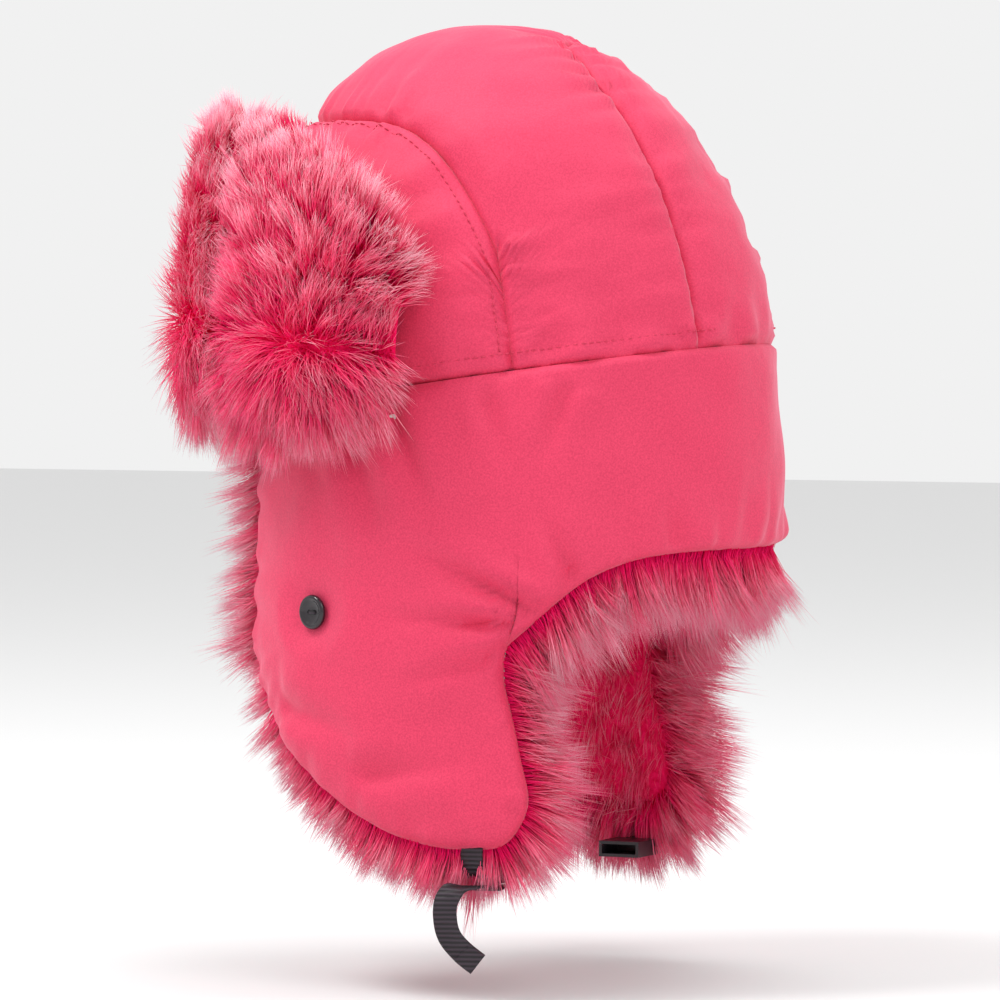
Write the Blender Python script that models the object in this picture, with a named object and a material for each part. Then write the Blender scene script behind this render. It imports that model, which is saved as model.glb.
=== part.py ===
"""Trapper hat: padded three-panel crown, pile-lined skirt, turned-up front flap, two ear flaps, chin strap.

Frame: metres, +Z up, -Y towards the face, +X towards the wearer's left. The origin is the middle of the
band seam, where the head sits. Layers are nested sheets on one shared surface, parted by a small gap.
"""

from math import asin, cos, degrees, pi, radians, sin

import bpy
from mathutils import Matrix, Vector

# Crown
BAND_HALF_WIDTH = 0.096  # outside, across the ears
BAND_HALF_LENGTH = 0.111  # outside, front to back
CROWN_HEIGHT = 0.144  # band seam to top, along the crown's own axis
CROWN_ROUNDNESS = 2.15  # superellipse power of the crown's profile
CROWN_PITCH = radians(8.3)  # the crown leans forward over the brow
SIDE_SEAM = 22.0  # where the front panel's arch meets the band, degrees behind the ear
BACK_SEAM = 67.0  # where the back panel meets the band, same measure
FRONT_ARCH = (0.20, 0.60)  # height of the front panel's arch at its feet and middle, as shares of the rise
BACK_ARCH = (0.57, 0.75)  # the same for the back panel

# Layers, outside in
CLOTH = 0.0012
PADDING = 0.0060
LINING = 0.0012
SWEATBAND = 0.0018
SWEATBAND_HEIGHT = 0.021
GAP = 0.0003  # between touching pieces
PILE_GAP = 0.0008  # between a backing and its pile, whose outline is larger
SEAM = 0.0002  # half the gap between pieces that are sewn edge to edge

# Skirt: the band that hangs from the crown round the ears and nape
FACE_EDGE = -50.0  # the skirt's front edge, degrees from straight left
FOLD_HEIGHT = -0.104  # crease where the ear flaps turn up
NAPE_HEIGHT = -0.066  # hem at the back
HEM_POWER = 5.0  # how late the hem falls from the nape to the crease
SKIRT_FLARE = 0.040  # outward slope
SKIRT_PADDING = 0.0040
SKIRT_PILE = 0.0100
PILE_BELOW_HEM = 0.022
PILE_PAST_EDGE = 3.0  # pile standing past the front edge, degrees

# Ear flaps
FLAP_LENGTH = 0.0812
FLAP_FRONT = -0.087
FLAP_BACK = 0.045
FLAP_TIP = 0.019
FLAP_TAPER = 0.050  # inward slope towards the jaw
FLAP_PILE_MARGIN = 0.007
FACE_MARGIN_SHARE = 0.55  # of that margin, along the face edge
FLAP_FRONT_POWER = 1.75  # superellipse powers of the outline
FLAP_BACK_POWER = 6.0
FLAP_SWEEP = radians(80.0)  # the outline is stopped short of its level bottom
FLAP_FOLD_CLEARANCE = 0.001  # crease outside the widest cloth

# Front flap
BRIM_HALF_ANGLE = 88.0  # reach each side of the face's middle, degrees
BRIM_BOTTOM = (-0.004, -0.022)  # lower edge in the middle and at the ends
BRIM_TOP = (0.100, 0.072)  # upper edge in the middle and at the ends
BRIM_CORNER = 0.020  # how much the corners are rounded off
BRIM_STANDOFF = 0.0072
BRIM_LEAN = 0.11  # how far the top leans in, as a share of the half width
BRIM_PADDING = 0.0030
BRIM_PILE = 0.0150
BRIM_PILE_MARGIN = 0.010
SNAP_RADIUS = 0.0050
SNAP_HALF_HEIGHT = 0.0009
SNAP_AT = 0.030

# Buttons
BUTTON_RADIUS = 0.0070
BUTTON_THICKNESS = 0.0026
BUTTON_HOLE_RADIUS = 0.0009
BUTTON_HOLE_SPACING = 0.0034
THREAD_RADIUS = 0.0005
BUTTON_Y = -0.0436
BUTTON_Z = -0.0910

# Chin strap
STRAP_WIDTH = 0.0095
STRAP_THICKNESS = 0.0013
STRAP_Y = 0.024
STRAP_DROP = 0.0020  # webbing's first edge below the hem
BUCKLE_DROP = 0.0115  # middle of the buckle below the hem
BUCKLE_INSET = 0.0115  # outer end of the buckle inside the webbing at the hem
BUCKLE_FRAME = Vector((0.0120, 0.0160, 0.0050))
PRONG = Vector((0.0130, 0.0028, 0.0036))
PRONG_SPREAD = 0.0052
SOCKET = Vector((0.0260, 0.0180, 0.0066))
SOCKET_WALL = 0.0013
SOCKET_MOUTH = 0.66  # depth of the mouth, as a share of the socket's length
WEBBING_SLOT = Vector((0.0030, 0.0110, 0.0200))
TAIL_ROUTE = [  # the loose end, from under the buckle's outer end to its folded end
    (-0.0050, 0.0022, -0.0041),
    (0.0050, 0.0045, -0.0045),
    (0.0145, 0.0018, -0.0030),
    (0.0215, -0.0025, -0.0035),
    (0.0245, -0.0050, -0.0080),
    (0.0245, -0.0055, -0.0151),
    (0.0235, -0.0040, -0.0220),
    (0.0215, 0.0005, -0.0280),
    (0.0195, 0.0065, -0.0330),
]

# Grid densities
SIDE_STEPS, BACK_STEPS, FRONT_STEPS = 4, 4, 20
ARCH_ROWS, TOP_ROWS = 4, 4
SKIRT_COLUMNS, SKIRT_ROWS = 24, 3
FLAP_COLUMNS, FLAP_ROWS = 8, 6
BRIM_COLUMNS, BRIM_ROWS = 22, 4

CLOTH_PINK = (0.86, 0.07, 0.17)
PILE_PINK = (0.85, 0.02, 0.09)
LINING_PINK = (0.62, 0.03, 0.10)
WADDING = (0.90, 0.88, 0.85)
STRAP_BLACK = (0.020, 0.012, 0.018)
METAL = (0.55, 0.55, 0.57)


def clear_scene():
    for item in list(bpy.data.objects):
        bpy.data.objects.remove(item, do_unlink=True)


def material(name, colour, roughness=0.8, metallic=0.0):
    made = bpy.data.materials.new(name)
    made.use_nodes = True
    shader = made.node_tree.nodes["Principled BSDF"]
    shader.inputs["Base Color"].default_value = (*colour, 1.0)
    shader.inputs["Roughness"].default_value = roughness
    shader.inputs["Metallic"].default_value = metallic
    return made


def new_object(name, vertices, faces, look, parent=None):
    """A mesh object given in world coordinates, hung from an empty on its joint's axis when it moves."""
    mesh = bpy.data.meshes.new(name)
    mesh.from_pydata([tuple(v) for v in vertices], [], faces)
    mesh.validate()
    made = bpy.data.objects.new(name, mesh)
    mesh.materials.append(material(name, *look))
    bpy.context.collection.objects.link(made)
    if parent:
        made.parent = parent
        mesh.transform(Matrix.Translation(-joint_place(parent)))
    return made


def joint_place(empty):
    """World place of a joint's empty, which is turned by nothing."""
    place = Vector(empty.location)
    return place + joint_place(empty.parent) if empty.parent else place


def joint_empty(name, place, parent=None):
    made = bpy.data.objects.new(name, None)
    bpy.context.collection.objects.link(made)
    made.parent = parent
    made.location = Vector(place) - (joint_place(parent) if parent else Vector())
    return made


def layer(name, cells, point, outer, inner, look, parent=None, wrap=0, flip=False):
    """A closed sheet over a set of grid cells (row, column), between two offsets of one surface.

    point(row, column, offset) gives a grid corner. Corners on the sheet's edge draw back by the seam gap.
    flip turns the faces of a mirrored sheet out again.
    """
    corners, vertices, faces = {}, [], []

    def key(row, column, side):
        place = point(row, column, 0.0)
        apex = (point(row, column + 1, 0.0) - place).length < 1e-9
        return row, 0 if apex else (column % wrap if wrap else column), side

    def around(row, column):
        ring = [(row - 1, column - 1), (row - 1, column), (row, column - 1), (row, column)]
        return [((r, c % wrap) if wrap else (r, c)) for r, c in ring]

    def corner(row, column, side):
        name_of = key(row, column, side)
        if name_of not in corners:
            offset = (outer, inner)[side]
            place = point(row, column, offset)
            apex = (point(row, column + 1, 0.0) - point(row, column, 0.0)).length < 1e-9
            own = [c for c in around(row, column) if c in cells]
            if len(own) < 4 and not apex:
                middles = [
                    sum((point(r + i, c + j, offset) for i in (0, 1) for j in (0, 1)), Vector()) / 4.0
                    for r, c in own
                ]
                away = sum(middles, Vector()) / len(middles) - place
                place = place + away.normalized() * SEAM
            corners[name_of] = len(vertices)
            vertices.append(place)
        return corners[name_of]

    def face(*ring):
        clean = [v for i, v in enumerate(ring) if v != ring[i - 1]]
        if len(clean) > 2:
            faces.append(tuple(reversed(clean)) if flip else tuple(clean))

    def has(row, column):
        return ((row, column % wrap) if wrap else (row, column)) in cells

    for row, column in sorted(cells):
        a, b = (row, column), (row, column + 1)
        c, d = (row + 1, column + 1), (row + 1, column)
        for side in (0, 1):
            p, q, r, s = (corner(*at, side) for at in (a, b, c, d))
            if side:
                face(p, r, q)
                face(p, s, r)
            else:
                face(p, q, r)
                face(p, r, s)
        edges = [((row - 1, column), a, b), ((row, column + 1), b, c), ((row + 1, column), c, d)]
        edges.append(((row, column - 1), d, a))
        for neighbour, start, end in edges:
            if has(*neighbour):
                continue
            p, q = corner(*start, 0), corner(*end, 0)
            r, s = corner(*end, 1), corner(*start, 1)
            if p != q:
                face(q, p, s)
                face(q, s, r)
    return new_object(name, vertices, faces, look, parent)


def pitched(place):
    return Matrix.Rotation(CROWN_PITCH, 3, "X") @ Vector(place)


def dome(angle, rise, offset):
    """The crown's surface: angle from straight left towards the back, rise 0 at the band to 1 at the top."""
    turn, lift = radians(angle), rise * pi / 2
    power = 2.0 / CROWN_ROUNDNESS
    out, up = max(cos(lift), 0.0) ** power, sin(lift) ** power
    if rise >= 1.0:
        out = 0.0
    x = (BAND_HALF_WIDTH + offset) * cos(turn) * out
    y = (BAND_HALF_LENGTH + offset) * sin(turn) * out
    return pitched((x, y, (CROWN_HEIGHT + offset) * up))


def rise_at(height):
    """The share of the rise at which the crown reaches a height above its band."""
    return 2.0 / pi * asin((height / CROWN_HEIGHT) ** (CROWN_ROUNDNESS / 2.0))


def crown_columns():
    """Column angles once round the crown, in step with both seams."""
    spans = [
        (SIDE_SEAM, BACK_SEAM, SIDE_STEPS),
        (BACK_SEAM, 180.0 - BACK_SEAM, BACK_STEPS),
        (180.0 - BACK_SEAM, 180.0 - SIDE_SEAM, SIDE_STEPS),
        (180.0 - SIDE_SEAM, 360.0 + SIDE_SEAM, FRONT_STEPS),
    ]
    angles = []
    for start, end, steps in spans:
        angles += [start + (end - start) * i / steps for i in range(steps)]
    return angles


COLUMNS = crown_columns()


def arch(angle):
    """The height at which the panels' seam crosses a column, as a share of the rise."""
    if SIDE_SEAM < angle < BACK_SEAM:
        t = (angle - SIDE_SEAM) / (BACK_SEAM - SIDE_SEAM)
        return FRONT_ARCH[0] + (BACK_ARCH[0] - FRONT_ARCH[0]) * t
    if BACK_SEAM <= angle <= 180.0 - BACK_SEAM:
        t = abs(angle - 90.0) / (90.0 - BACK_SEAM)
        return BACK_ARCH[1] + (BACK_ARCH[0] - BACK_ARCH[1]) * t**2
    if 180.0 - BACK_SEAM < angle < 180.0 - SIDE_SEAM:
        return arch(180.0 - angle)
    turn = angle + 360.0 if angle <= SIDE_SEAM else angle
    t = abs(turn - 270.0) / (90.0 + SIDE_SEAM)
    return FRONT_ARCH[1] + (FRONT_ARCH[0] - FRONT_ARCH[1]) * (0.25 * t**2 + 0.75 * t**10)


def crown_point(row, column, offset):
    angle = COLUMNS[column % len(COLUMNS)]
    seam, band = arch(angle), rise_at(SWEATBAND_HEIGHT)
    if row <= 1:
        rise = band * row
    elif row <= ARCH_ROWS:
        rise = band + (seam - band) * (row - 1) / (ARCH_ROWS - 1)
    else:
        rise = seam + (1.0 - seam) * (row - ARCH_ROWS) / TOP_ROWS
    return dome(angle, rise, offset)


def build_crown():
    count, rows = len(COLUMNS), ARCH_ROWS + TOP_ROWS
    every = {(r, c) for r in range(rows) for c in range(count)}
    back = range(SIDE_STEPS, SIDE_STEPS + BACK_STEPS)
    front = range(2 * SIDE_STEPS + BACK_STEPS, count)
    back_cells = {(r, c) for r in range(ARCH_ROWS) for c in back}
    front_cells = {(r, c) for r in range(ARCH_ROWS) for c in front}
    cloth = (CLOTH_PINK, 0.75)
    layer("crown_front_panel", front_cells, crown_point, 0.0, -CLOTH, cloth, wrap=count)
    layer("crown_back_panel", back_cells, crown_point, 0.0, -CLOTH, cloth, wrap=count)
    middle = every - back_cells - front_cells
    layer("crown_middle_panel", middle, crown_point, 0.0, -CLOTH, cloth, wrap=count)
    top = -CLOTH - GAP
    layer("crown_padding", every, crown_point, top, top - PADDING, (WADDING, 0.95), wrap=count)
    top -= PADDING + GAP
    layer("crown_lining", every, crown_point, top, top - LINING, (LINING_PINK, 0.7), wrap=count)
    top -= LINING + GAP
    ring = {(0, c) for c in range(count)}
    layer("sweatband", ring, crown_point, top, top - SWEATBAND, (LINING_PINK, 0.7), wrap=count)


def skirt_place(angle, z, offset):
    """The skirt's and ear flaps' surface at a height; it flares to the crease, then tapers to the jaw."""
    turn = radians(angle)
    flare = -SKIRT_FLARE * max(z, FOLD_HEIGHT) + FLAP_TAPER * min(z - FOLD_HEIGHT, 0.0)
    x = (BAND_HALF_WIDTH + offset + flare) * cos(turn)
    y = (BAND_HALF_LENGTH + offset + flare) * sin(turn) * cos(CROWN_PITCH)
    return Vector((x, y, z))


def hem(angle):
    """Height of the skirt's lower edge: the crease under the ears, rising to the nape."""
    past = min(max((90.0 - min(angle, 180.0 - angle)) / (90.0 - fold_angle()), 0.0), 1.0)
    return NAPE_HEIGHT + (FOLD_HEIGHT - NAPE_HEIGHT) * past**HEM_POWER


def fold_angle():
    return side_angle(FLAP_BACK)


def side_angle(y):
    """Angle on the left side at which the skirt passes a given distance behind the middle."""
    reach = (BAND_HALF_LENGTH - SKIRT_FLARE * FOLD_HEIGHT) * cos(CROWN_PITCH)
    return degrees(asin(y / reach))


def skirt_point(edge, below):
    """Grid corners of a skirt layer whose ends stand past the face edge and below the hem."""

    def point(row, column, offset):
        start = FACE_EDGE - edge
        angle = start + (180.0 - 2.0 * start) * column / SKIRT_COLUMNS
        low = max(hem(angle) - below, FOLD_HEIGHT)
        top = (BAND_HALF_LENGTH + offset) * sin(radians(angle)) * sin(CROWN_PITCH)
        place = skirt_place(angle, low + (top - low) * row / SKIRT_ROWS, offset)
        return place

    return point


def build_skirt():
    cells = {(r, c) for r in range(SKIRT_ROWS) for c in range(SKIRT_COLUMNS)}
    layer("skirt_cloth", cells, skirt_point(0.0, 0.0), 0.0, -CLOTH, (CLOTH_PINK, 0.75))
    top = -CLOTH - GAP
    layer("skirt_padding", cells, skirt_point(0.0, 0.0), top, top - SKIRT_PADDING, (WADDING, 0.95))
    top -= SKIRT_PADDING + PILE_GAP
    pile = skirt_point(PILE_PAST_EDGE, PILE_BELOW_HEM)
    layer("skirt_pile", cells, pile, top, top - SKIRT_PILE, (PILE_PINK, 0.9))


def flap_point(margin, sign):
    """Grid corners of an ear flap layer, from the crease down; margin lets the pile stand past the cloth."""

    def point(row, column, offset):
        down = sin(FLAP_SWEEP * (FLAP_ROWS - row) / FLAP_ROWS)
        forward = (1.0 - down**FLAP_FRONT_POWER) ** (1.0 / FLAP_FRONT_POWER)
        backward = (1.0 - down**FLAP_BACK_POWER) ** (1.0 / FLAP_BACK_POWER)
        front = FLAP_TIP + (FLAP_FRONT - FLAP_TIP) * forward - margin * FACE_MARGIN_SHARE
        back = FLAP_TIP + (FLAP_BACK - FLAP_TIP) * backward + margin
        z = FOLD_HEIGHT - down * (FLAP_LENGTH + margin)
        start, end = side_angle(front), side_angle(back)
        place = skirt_place(start + (end - start) * column / FLAP_COLUMNS, z, offset)
        return Vector((sign * place.x, place.y, place.z))

    return point


def fold_place(sign):
    reach = BAND_HALF_WIDTH - SKIRT_FLARE * FOLD_HEIGHT + FLAP_FOLD_CLEARANCE
    return Vector((sign * reach, 0.0, FOLD_HEIGHT))


def build_ear_flap(side, sign):
    joint = joint_empty(f"{side}_flap_fold", fold_place(sign))
    cells = {(r, c) for r in range(FLAP_ROWS) for c in range(FLAP_COLUMNS)}
    cloth, pile = flap_point(0.0, sign), flap_point(FLAP_PILE_MARGIN, sign)
    mirrored = {"parent": joint, "flip": sign < 0}
    layer(f"{side}_flap_cloth", cells, cloth, 0.0, -CLOTH, (CLOTH_PINK, 0.75), **mirrored)
    top = -CLOTH - GAP
    padding = (WADDING, 0.95)
    layer(f"{side}_flap_padding", cells, cloth, top, top - SKIRT_PADDING, padding, **mirrored)
    top -= SKIRT_PADDING + PILE_GAP
    layer(f"{side}_flap_pile", cells, pile, top, top - SKIRT_PILE, (PILE_PINK, 0.9), **mirrored)
    return joint


def brim_point(margin):
    """Grid corners of a front flap layer, turned up outside the crown."""

    def point(row, column, offset):
        share = 2.0 * column / BRIM_COLUMNS - 1.0
        angle = 270.0 + (BRIM_HALF_ANGLE + degrees(margin / BAND_HALF_LENGTH)) * share
        ends = abs(share) ** 3
        corner = BRIM_CORNER * ends**3
        low = BRIM_BOTTOM[0] + (BRIM_BOTTOM[1] - BRIM_BOTTOM[0]) * ends + corner - margin
        high = BRIM_TOP[0] + (BRIM_TOP[1] - BRIM_TOP[0]) * ends - corner + margin
        up = row / BRIM_ROWS
        lean = 1.0 - BRIM_LEAN * up**3
        z = low + (high - low) * up
        x = (BAND_HALF_WIDTH + BRIM_STANDOFF) * lean + offset
        y = (BAND_HALF_LENGTH + BRIM_STANDOFF) * lean + offset
        return Vector((x * cos(radians(angle)), y * sin(radians(angle)), z))

    return point


def brim_axis():
    """The front flap turns about its lower front edge, clear of all its cloth."""
    front = BAND_HALF_LENGTH + BRIM_STANDOFF + BRIM_PADDING + CLOTH + GAP
    return Vector((0.0, -front, BRIM_BOTTOM[1] - BRIM_PILE_MARGIN))


def disc(name, place, axis, radius, half_height, look, parent=None, sides=16):
    """A flat round piece centred on a place, its axis along a direction."""
    turn = Vector(axis).to_track_quat("Z", "Y").to_matrix()
    vertices, faces = [], []
    for level in (-1, 1):
        for i in range(sides):
            a = 2 * pi * i / sides
            rim = Vector((radius * cos(a), radius * sin(a), level * half_height))
            vertices.append(Vector(place) + turn @ rim)
    faces.append(tuple(reversed(range(sides))))
    faces.append(tuple(range(sides, 2 * sides)))
    for i in range(sides):
        j = (i + 1) % sides
        faces.append((i, j, sides + j, sides + i))
    return new_object(name, vertices, faces, look, parent)


def build_front_flap():
    joint = joint_empty("front_flap_fold", brim_axis())
    cells = {(r, c) for r in range(BRIM_ROWS) for c in range(BRIM_COLUMNS)}
    cloth, pile = brim_point(0.0), brim_point(BRIM_PILE_MARGIN)
    layer("front_flap_cloth", cells, cloth, CLOTH, 0.0, (CLOTH_PINK, 0.75), joint)
    base = CLOTH + GAP
    layer("front_flap_padding", cells, cloth, base + BRIM_PADDING, base, (WADDING, 0.95), joint)
    base += BRIM_PADDING + PILE_GAP
    layer("front_flap_pile", cells, pile, base + BRIM_PILE, base, (PILE_PINK, 0.9), joint)
    build_snap(joint)


def build_snap(joint):
    """A press stud: one half on the crown, the other on the flap's inner face."""
    height = SNAP_AT + BAND_HALF_LENGTH * sin(CROWN_PITCH)
    skin = dome(270.0, rise_at(height), 0.0)
    steps = 40
    flap_points = [brim_point(0.0)(BRIM_ROWS * i / steps, BRIM_COLUMNS / 2, 0.0) for i in range(steps)]
    backing = min(flap_points, key=lambda p: abs(p.z - skin.z))
    clear = SNAP_HALF_HEIGHT + 3 * GAP
    stud = Vector((0.0, skin.y - clear, skin.z))
    socket = Vector((0.0, backing.y + clear + GAP, skin.z))
    disc("snap_stud", stud, (0, -1, 0), SNAP_RADIUS, SNAP_HALF_HEIGHT, (METAL, 0.3, 1.0))
    disc("snap_socket", socket, (0, -1, 0), SNAP_RADIUS, SNAP_HALF_HEIGHT, (METAL, 0.3, 1.0), joint)


def cutter(name, place, size=None, axis=None, radius=None, half_height=None):
    """A hidden box or rod that cuts a hole."""
    if size is not None:
        made = box(name, place, size, (METAL, 0.5))
    else:
        made = disc(name, place, axis, radius, half_height, (METAL, 0.5), sides=8)
    made.hide_render = True
    made.display_type = "WIRE"
    return made


def cut(made, tool, operation="DIFFERENCE"):
    change = made.modifiers.new(tool.name, "BOOLEAN")
    change.operation = operation
    change.solver = "EXACT"
    change.object = tool


def box(name, middle, size, look, parent=None):
    half = Vector(size) / 2.0
    signs = [(x, y, z) for z in (-1, 1) for y in (-1, 1) for x in (-1, 1)]
    vertices = [Vector(middle) + Vector((half.x * x, half.y * y, half.z * z)) for x, y, z in signs]
    faces = [(0, 2, 3, 1), (4, 5, 7, 6), (0, 1, 5, 4), (2, 6, 7, 3), (0, 4, 6, 2), (1, 3, 7, 5)]
    return new_object(name, vertices, faces, look, parent)


def build_button(side, sign):
    """A dished two-hole button on the skirt with a raised rim, and the thread through its holes."""
    skin = skirt_place(side_angle(BUTTON_Y), BUTTON_Z, 0.0)
    ahead = skirt_place(side_angle(BUTTON_Y) + 1.0, BUTTON_Z, 0.0)
    along = (ahead - skin).normalized()
    out = along.cross(Vector((0, 0, 1))).normalized()
    if sign < 0:
        skin.x, along.x, out.x = -skin.x, -along.x, -out.x
    base = skin + out * 2 * GAP
    frame = Matrix((along, Vector((0, 0, 1)), out)).transposed()
    profile = [
        (0.0, BUTTON_THICKNESS * 0.62),
        (BUTTON_RADIUS * 0.58, BUTTON_THICKNESS * 0.62),
        (BUTTON_RADIUS * 0.74, BUTTON_THICKNESS),
        (BUTTON_RADIUS * 0.90, BUTTON_THICKNESS),
        (BUTTON_RADIUS, BUTTON_THICKNESS * 0.70),
        (BUTTON_RADIUS, BUTTON_THICKNESS * 0.25),
        (BUTTON_RADIUS * 0.85, 0.0),
        (0.0, 0.0),
    ]
    made = turned(f"{side}_button", base, frame, profile, (STRAP_BLACK, 0.2), flip=sign < 0)
    for place in (-1, 1):
        middle = base + frame @ Vector((place * BUTTON_HOLE_SPACING / 2, 0, BUTTON_THICKNESS / 2))
        hole = cutter(f"{side}_hole_{place}", middle, None, out, BUTTON_HOLE_RADIUS, BUTTON_THICKNESS)
        cut(made, hole)
    half, top = BUTTON_HOLE_SPACING / 2, BUTTON_THICKNESS * 0.62 + THREAD_RADIUS + GAP
    local = [(-half, 0, GAP), (-half, 0, top), (half, 0, top), (half, 0, GAP)]
    bar(f"{side}_button_thread", [base + frame @ Vector(p) for p in local], THREAD_RADIUS)


def turned(name, base, frame, profile, look, flip=False, sides=20):
    """A closed turned piece from a profile of (radius, height) that starts and ends on the axis."""
    vertices = [base + frame @ Vector((0, 0, profile[0][1]))]
    rings = profile[1:-1]
    for radius, height in rings:
        for i in range(sides):
            a = 2 * pi * i / sides
            vertices.append(base + frame @ Vector((radius * cos(a), radius * sin(a), height)))
    vertices.append(base + frame @ Vector((0, 0, profile[-1][1])))
    last, faces = len(vertices) - 1, []
    for i in range(sides):
        j = (i + 1) % sides
        faces.append((0, 1 + i, 1 + j))
        for k in range(len(rings) - 1):
            a, b = 1 + k * sides, 1 + (k + 1) * sides
            faces.append((a + i, b + i, b + j, a + j))
        end = 1 + (len(rings) - 1) * sides
        faces.append((last, end + j, end + i))
    if flip:
        faces = [tuple(reversed(f)) for f in faces]
    return new_object(name, vertices, faces, look)


def bar(name, points, radius):
    """A round thread along a few straight runs."""
    curve = bpy.data.curves.new(name, "CURVE")
    curve.dimensions = "3D"
    curve.bevel_depth = radius
    curve.bevel_resolution = 1
    curve.render_resolution_u = 0
    curve.use_fill_caps = True
    spline = curve.splines.new("POLY")
    spline.points.add(len(points) - 1)
    for slot, place in zip(spline.points, points):
        slot.co = (*place, 1.0)
    made = bpy.data.objects.new(name, curve)
    curve.materials.append(material(name, STRAP_BLACK, 0.7))
    bpy.context.collection.objects.link(made)
    return made


def smooth_route(route, steps=3):
    """Points along a smooth curve through a route (Catmull-Rom)."""
    p = [Vector(route[0])] + [Vector(q) for q in route] + [Vector(route[-1])]
    found = []
    for i in range(1, len(p) - 2):
        for k in range(steps):
            t = k / steps
            a, b, c, d = p[i - 1 : i + 3]
            curve = 2 * b + (c - a) * t + (2 * a - 5 * b + 4 * c - d) * t**2
            found.append((curve + (3 * b - a - 3 * c + d) * t**3) / 2)
    return found + [p[-1]]


def ribbon(name, route, across, parent):
    """Flat webbing along a route, its width lying along a direction."""
    points = smooth_route(route)
    vertices, faces = [], []
    for i, place in enumerate(points):
        ahead = points[min(i + 1, len(points) - 1)] - points[max(i - 1, 0)]
        side = (Vector(across) - ahead * (Vector(across).dot(ahead) / ahead.length_squared)).normalized()
        thick = ahead.normalized().cross(side)
        for a, b in ((-1, -1), (1, -1), (1, 1), (-1, 1)):
            vertices.append(place + side * (a * STRAP_WIDTH / 2) + thick * (b * STRAP_THICKNESS / 2))
    for i in range(len(points) - 1):
        for k in range(4):
            a, b = 4 * i + k, 4 * i + (k + 1) % 4
            faces.append((a, b, b + 4))
            faces.append((a, b + 4, a + 4))
    end = 4 * (len(points) - 1)
    faces += [(3, 2, 1, 0), (end, end + 1, end + 2, end + 3)]
    return new_object(name, vertices, faces, (STRAP_BLACK, 0.7), parent)


def strap_root():
    """Where the left webbing leaves the hem, midway through the padding."""
    z = FOLD_HEIGHT - sin(FLAP_SWEEP) * FLAP_LENGTH - STRAP_DROP
    x = skirt_place(side_angle(STRAP_Y), z, -CLOTH - GAP - SKIRT_PADDING / 2).x
    return Vector((x, STRAP_Y, z))


def buckle_end():
    """Outer end of the left half of the buckle, which lies inside and below the hem."""
    return strap_root() + Vector((-BUCKLE_INSET, 0.0, STRAP_DROP - BUCKLE_DROP))


def build_strap(side, sign, flap_joint):
    """Webbing sewn in the hem, turned inwards under the pile to its half of the buckle."""
    root, end = strap_root(), buckle_end()
    joint = joint_empty(f"{side}_strap_swing", (sign * root.x, root.y, root.z), flap_joint)
    route = [
        (root.x, root.z),
        (root.x + 0.0002, root.z - 0.0035),
        (root.x - 0.0010, end.z + 0.0030),
        (root.x - 0.0050, end.z + 0.0003),
        (end.x + GAP, end.z),
    ]
    places = [(sign * x, STRAP_Y, z) for x, z in route]
    ribbon(f"{side}_strap_webbing", places, (0, 1, 0), joint)
    if sign > 0:
        build_plug(end, joint)
        tail = [end + Vector(step) for step in TAIL_ROUTE]
        ribbon("left_strap_tail", tail, (-0.30, 0.95, 0.0), joint)
    else:
        build_socket(Vector((-end.x, end.y, end.z)), joint)


def build_plug(end, joint):
    """The buckle's plug: a frame with a slot for the webbing, and two prongs."""
    middle = end - Vector((BUCKLE_FRAME.x / 2, 0, 0))
    made = box("left_buckle_plug", middle, BUCKLE_FRAME, (STRAP_BLACK, 0.4), joint)
    cut(made, cutter("plug_slot", middle, size=WEBBING_SLOT))
    inner = end.x - BUCKLE_FRAME.x
    for side in (-1, 1):
        at = Vector((inner - PRONG.x / 2 + GAP, end.y + side * PRONG_SPREAD, end.z))
        cut(made, cutter(f"plug_prong_{side}", at, size=PRONG), "UNION")


def build_socket(end, joint):
    """The buckle's socket: a shell open towards the plug, with a slot for the webbing behind it."""
    middle = end + Vector((SOCKET.x / 2, 0, 0))
    made = box("right_buckle_socket", middle, SOCKET, (STRAP_BLACK, 0.4), joint)
    slot = middle - Vector((SOCKET.x / 2 - WEBBING_SLOT.x / 2 - 2 * SOCKET_WALL, 0, 0))
    cut(made, cutter("socket_slot", slot, size=WEBBING_SLOT))
    wall = Vector((0, 2 * SOCKET_WALL, 2 * SOCKET_WALL))
    room = Vector((SOCKET.x * SOCKET_MOUTH, SOCKET.y, SOCKET.z)) - wall
    mouth = middle + Vector((SOCKET.x / 2 - room.x / 2 + 2 * GAP, 0, 0))
    cut(made, cutter("socket_mouth", mouth, size=room))


def build_hat():
    clear_scene()
    build_crown()
    build_skirt()
    build_front_flap()
    for side, sign in (("left", 1), ("right", -1)):
        flap = build_ear_flap(side, sign)
        build_button(side, sign)
        build_strap(side, sign, flap)


build_hat()
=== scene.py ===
"""The trapper hat's looks: cloth, pile, stitching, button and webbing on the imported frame."""

from math import asin, cos, degrees, pi, radians, sin

import bpy
import numpy as np
from mathutils import Matrix, Vector, noise
from mathutils.kdtree import KDTree


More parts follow.
